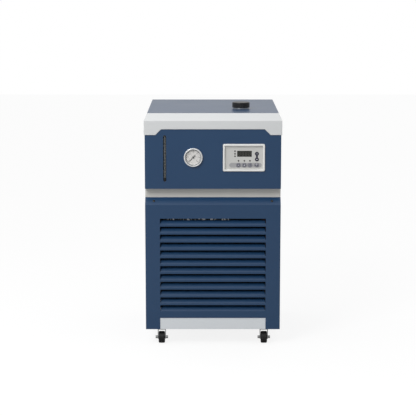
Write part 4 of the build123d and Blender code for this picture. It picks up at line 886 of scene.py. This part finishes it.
# The printed polyester film is an even silver grey with a fine sparkle.
silver_film, tree, output = blank("silver_grey_film")
place = add(tree, "ShaderNodeTexCoord")
parts = add(tree, "ShaderNodeSeparateXYZ", {"Vector": place.outputs["Object"]})
strip_middle = (strip_left + strip_right) / 2 * MM
strip_straight = ((strip_right - strip_left) / 2 - strip_radius) * MM
aside = add(tree, "ShaderNodeMath", {0: parts.outputs["X"], 1: strip_middle}, operation="SUBTRACT")
aside = add(tree, "ShaderNodeMath", {0: aside.outputs[0]}, operation="ABSOLUTE")
aside = add(tree, "ShaderNodeMath", {0: aside.outputs[0], 1: strip_straight}, operation="SUBTRACT")
aside = add(tree, "ShaderNodeMath", {0: aside.outputs[0], 1: 0.0}, operation="MAXIMUM")
above = add(tree, "ShaderNodeMath", {0: parts.outputs["Z"], 1: lower_keys_z * MM}, operation="SUBTRACT")
away = add(tree, "ShaderNodeCombineXYZ", {"X": aside.outputs[0], "Y": above.outputs[0]})
away = add(tree, "ShaderNodeVectorMath", {0: away.outputs[0]}, operation="LENGTH")
strip_rim = (strip_radius + strip_edge) * MM
inside = add(
    tree,
    "ShaderNodeMapRange",
    {"Value": away.outputs["Value"], "From Min": strip_radius * MM, "From Max": strip_rim},
)
film_tone = add(
    tree,
    "ShaderNodeMix",
    {"Factor": inside.outputs["Result"], 6: linear("aaaaac"), 7: linear("d0d0cd")},
    data_type="RGBA",
)
film_grain = add(
    tree,
    "ShaderNodeTexNoise",
    {"Vector": place.outputs["Object"], "Scale": 1000.0 / film_grain_mm, "Detail": 2.0},
)
film_relief = add(
    tree,
    "ShaderNodeBump",
    {"Height": film_grain.outputs["Fac"], "Strength": 1.0, "Distance": 0.006 * MM},
)
film_gloss = add(
    tree,
    "ShaderNodeMapRange",
    {"Value": film_grain.outputs["Fac"], "To Min": 0.46, "To Max": 0.56},
)
shader = add(
    tree,
    "ShaderNodeBsdfPrincipled",
    {
        "Base Color": film_tone.outputs[2],
        "Roughness": film_gloss.outputs["Result"],
        "Normal": film_relief.outputs["Normal"],
        "Specular IOR Level": 0.4,
    },
)
tree.links.new(shader.outputs[0], output.inputs["Surface"])
dress(silver_film, "controller_plate")

# The window's smoked acrylic is glossy and nearly black, and each unlit lamp is a dark glossy lens.
smoked_window = coated(
    "smoked_window", "262724", "2a2b28",
    roughness=0.16, level=0.5, peel_mm=8.0, peel_height_mm=0.002,
)
dress(smoked_window, "display_window")
lamp_lens = coated(
    "dark_lamp_lens", "201c1e", "2a2427",
    roughness=0.2, level=0.5, peel_mm=2.0, peel_height_mm=0.002,
)
dress(lamp_lens, "indicator_lamps")
# The lamps stand at these distances, in millimetres, from the middle of the housing.
lamp_offsets = [(-29.3, 20.9), (-29.3, 12.2), (-29.3, 4.0), (-17.6, -11.1), (1.5, -11.1), (20.0, -11.1)]
lamp_radius = 1.4
lamp_surround = 2.6


# The display's unlit digits show faintly through the smoked window: four figures of seven bars each.
# Every bar is a slim hexagon, leaning with its figure.
def figure(x, z, width, height, bar, lean):
    """Outlines of a figure's seven bars: hexagons along the edges of two stacked squares, sheared by lean."""
    slant = bar / width / 2
    half = np.array([-0.5, slant - 0.5, 0.5 - slant, 0.5, 0.5 - slant, slant - 0.5])
    thick = np.array([0.0, 0.5, 0.5, 0.0, -0.5, -0.5]) * bar
    flat = [np.stack([half * (width - bar), thick + level * height / 2], axis=-1) for level in (-1, 0, 1)]
    tall = [
        np.stack([thick + i * width / 2, half * (height / 2 - bar) + j * height / 4], axis=-1)
        for i in (-1, 1)
        for j in (-1, 1)
    ]
    outlines = np.array(flat + tall)
    outlines[..., 0] += outlines[..., 1] * lean
    return outlines + np.array([x, z])


window_face = corners("display_window")[0][1]
window_x, window_z = middle_of("display_window")
figure_pitch = 11.0
figure_width = 6.0
figure_height = 12.4
figure_bar = 1.5
figure_lean = 0.08
figure_proud = 0.06
figures = [
    figure(window_x + i * figure_pitch, window_z, figure_width, figure_height, figure_bar, figure_lean)
    for i in (-1.5, -0.5, 0.5, 1.5)
]
figure_print = prisms(np.concatenate(figures), window_face - figure_proud, window_face)
# Unlit segments are a faint grey under the smoked acrylic.
faint_figures = coated(
    "unlit_display_figures", "4a4b46", "52534e",
    roughness=0.4, level=0.4, peel_mm=1.0, peel_height_mm=0.002, tone_mm=10.0,
)
carried(built("display_figures", [figure_print], faint_figures), "cabinet", "smoked_window")


# The six silicone keys: navy arrows joined by a bar, and four pale keys in a row with slate printed signs.
# Each key's print is a thin raised ink that travels with the key.
# Moulded silicone is matt and soft to the eye, and the ink on it is as matt but has crisp edges.
navy_key = coated(
    "navy_silicone_key", "14162e", "1a1c36",
    roughness=0.5, level=0.4, peel_mm=0.8, peel_height_mm=0.006, tone_mm=10.0,
)
pale_key = coated(
    "pale_silicone_key", "c6c6cc", "cecfd4",
    roughness=0.5, level=0.4, peel_mm=0.8, peel_height_mm=0.006, tone_mm=10.0,
)
key_print = coated(
    "pale_key_print", "dcdce2", "e4e4e8",
    roughness=0.5, level=0.4, peel_mm=0.8, peel_height_mm=0.004, tone_mm=10.0,
)
ring_print = coated(
    "slate_key_print", "262846", "2e304e",
    roughness=0.5, level=0.4, peel_mm=0.8, peel_height_mm=0.004, tone_mm=10.0,
)
lower_keys = ("key_set", "key_pump", "key_cooling", "key_power")
dress(navy_key, "key_up", "key_down")
dress(pale_key, *lower_keys)


def disc(x, z, wide, tall, steps=28):
    """An oval outline: half widths times cosine and sine."""
    angle = np.linspace(0.0, 2.0 * math.pi, steps, endpoint=False)
    return np.stack([x + wide * np.cos(angle), z + tall * np.sin(angle)], axis=-1)[None]


def bow(x, z, inner, outer, start, end, steps):
    """Outlines of an open ring: short quads side by side between two radii, from start to end in degrees."""
    angle = np.radians(np.linspace(start, end, steps + 1))
    near = np.stack([x + inner * np.cos(angle), z + inner * np.sin(angle)], axis=-1)
    far = np.stack([x + outer * np.cos(angle), z + outer * np.sin(angle)], axis=-1)
    return np.stack([near[:-1], far[:-1], far[1:], near[1:]], axis=1)


up_x, up_z = middle_of("key_up")
down_x, down_z = middle_of("key_down")
# Corners of the arrows stand at these distances, in millimetres, from the middle of their key.
up_arrow = [(up_x - 2.4, up_z - 1.2), (up_x + 2.4, up_z - 1.2), (up_x, up_z + 2.2)]
down_arrow = [(down_x - 2.8, down_z + 1.3), (down_x, down_z - 2.4), (down_x + 2.8, down_z + 1.3)]
ring_inner = 2.4
ring_outer = 4.8
ring_steps = 36
full_ring = (0, 360, ring_steps)
set_x, set_z = middle_of("key_set")
set_ring = bow(set_x, set_z, ring_inner, ring_outer, *full_ring)
dot_radius = 0.8
set_dot = disc(set_x, set_z, dot_radius, dot_radius)
pump_x, pump_z = middle_of("key_pump")
pump_ring = bow(pump_x, pump_z, ring_inner, ring_outer, *full_ring)
flake_x, flake_z = middle_of("key_cooling")
flake_turns = np.arange(6) * 60.0 + 30.0
flake_gap = 0.4
ray_start = 0.2
ray_width = 0.7
flake_ring = bow(flake_x, flake_z, ring_inner + flake_gap, ring_outer, *full_ring)
flake = rays(flake_turns, ray_start, ring_inner, ray_width, (flake_x, flake_z))
power_x, power_z = middle_of("key_power")
power_inner = 1.7
power_open = (130, 410)
power_steps = 28
bar_reach = 3.4
bar_width = 0.9
power_ring = bow(power_x, power_z, power_inner, ring_outer, *power_open, power_steps)
power_bar = rays([90.0], ray_start, bar_reach, bar_width, (power_x, power_z))
signs = {
    "key_up": (pale_key, [[up_arrow]]),
    "key_down": (key_print, [[down_arrow]]),
    "key_set": (ring_print, [set_ring, set_dot]),
    "key_pump": (ring_print, [pump_ring]),
    "key_cooling": (ring_print, [flake_ring, flake]),
    "key_power": (ring_print, [power_ring, power_bar]),
}
print_sunk = 0.02
for name, (ink, outlines) in signs.items():
    face = corners(name)[0][1]
    print_shapes = [prisms(outline, face - print_proud, face + print_sunk) for outline in outlines]
    carried(built(f"{name}_sign", print_shapes, ink), name, "ringed_key")

lamp_rings = []
lamp_steps = 28
for x, z in lamp_offsets:
    outline = bow(controller[0] + x, controller[1] + z, lamp_radius, lamp_surround, 0, 360, lamp_steps)
    lamp_rings.append(prisms(outline, plate_skin - print_proud, plate_skin))
carried(built("lamp_surrounds", lamp_rings, dial_ink), "cabinet", "black_paint")

key_radius = (corners("key_set")[1][0] - corners("key_set")[0][0]) / 2
surround_gap = 0.2
surround_width = 1.0
surround_inner = key_radius + surround_gap
key_rings = []
for name in lower_keys:
    outline = bow(*middle_of(name), surround_inner, surround_inner + surround_width, *full_ring)
    key_rings.append(prisms(outline, relief_face - print_proud, relief_face))
carried(built("key_surrounds", key_rings, ring_print), "cabinet", "ringed_key")

bar_half = 2.9
bar_proud = 0.25
bar_end = 5.9
bar_x = (up_x - bar_half, up_x + bar_half)
arrow_bar = block(bar_x, (relief_face - bar_proud, relief_face), (down_z + bar_end, up_z - bar_end))
carried(built("arrow_key_bar", [arrow_bar], navy_key), "cabinet", "navy_key")
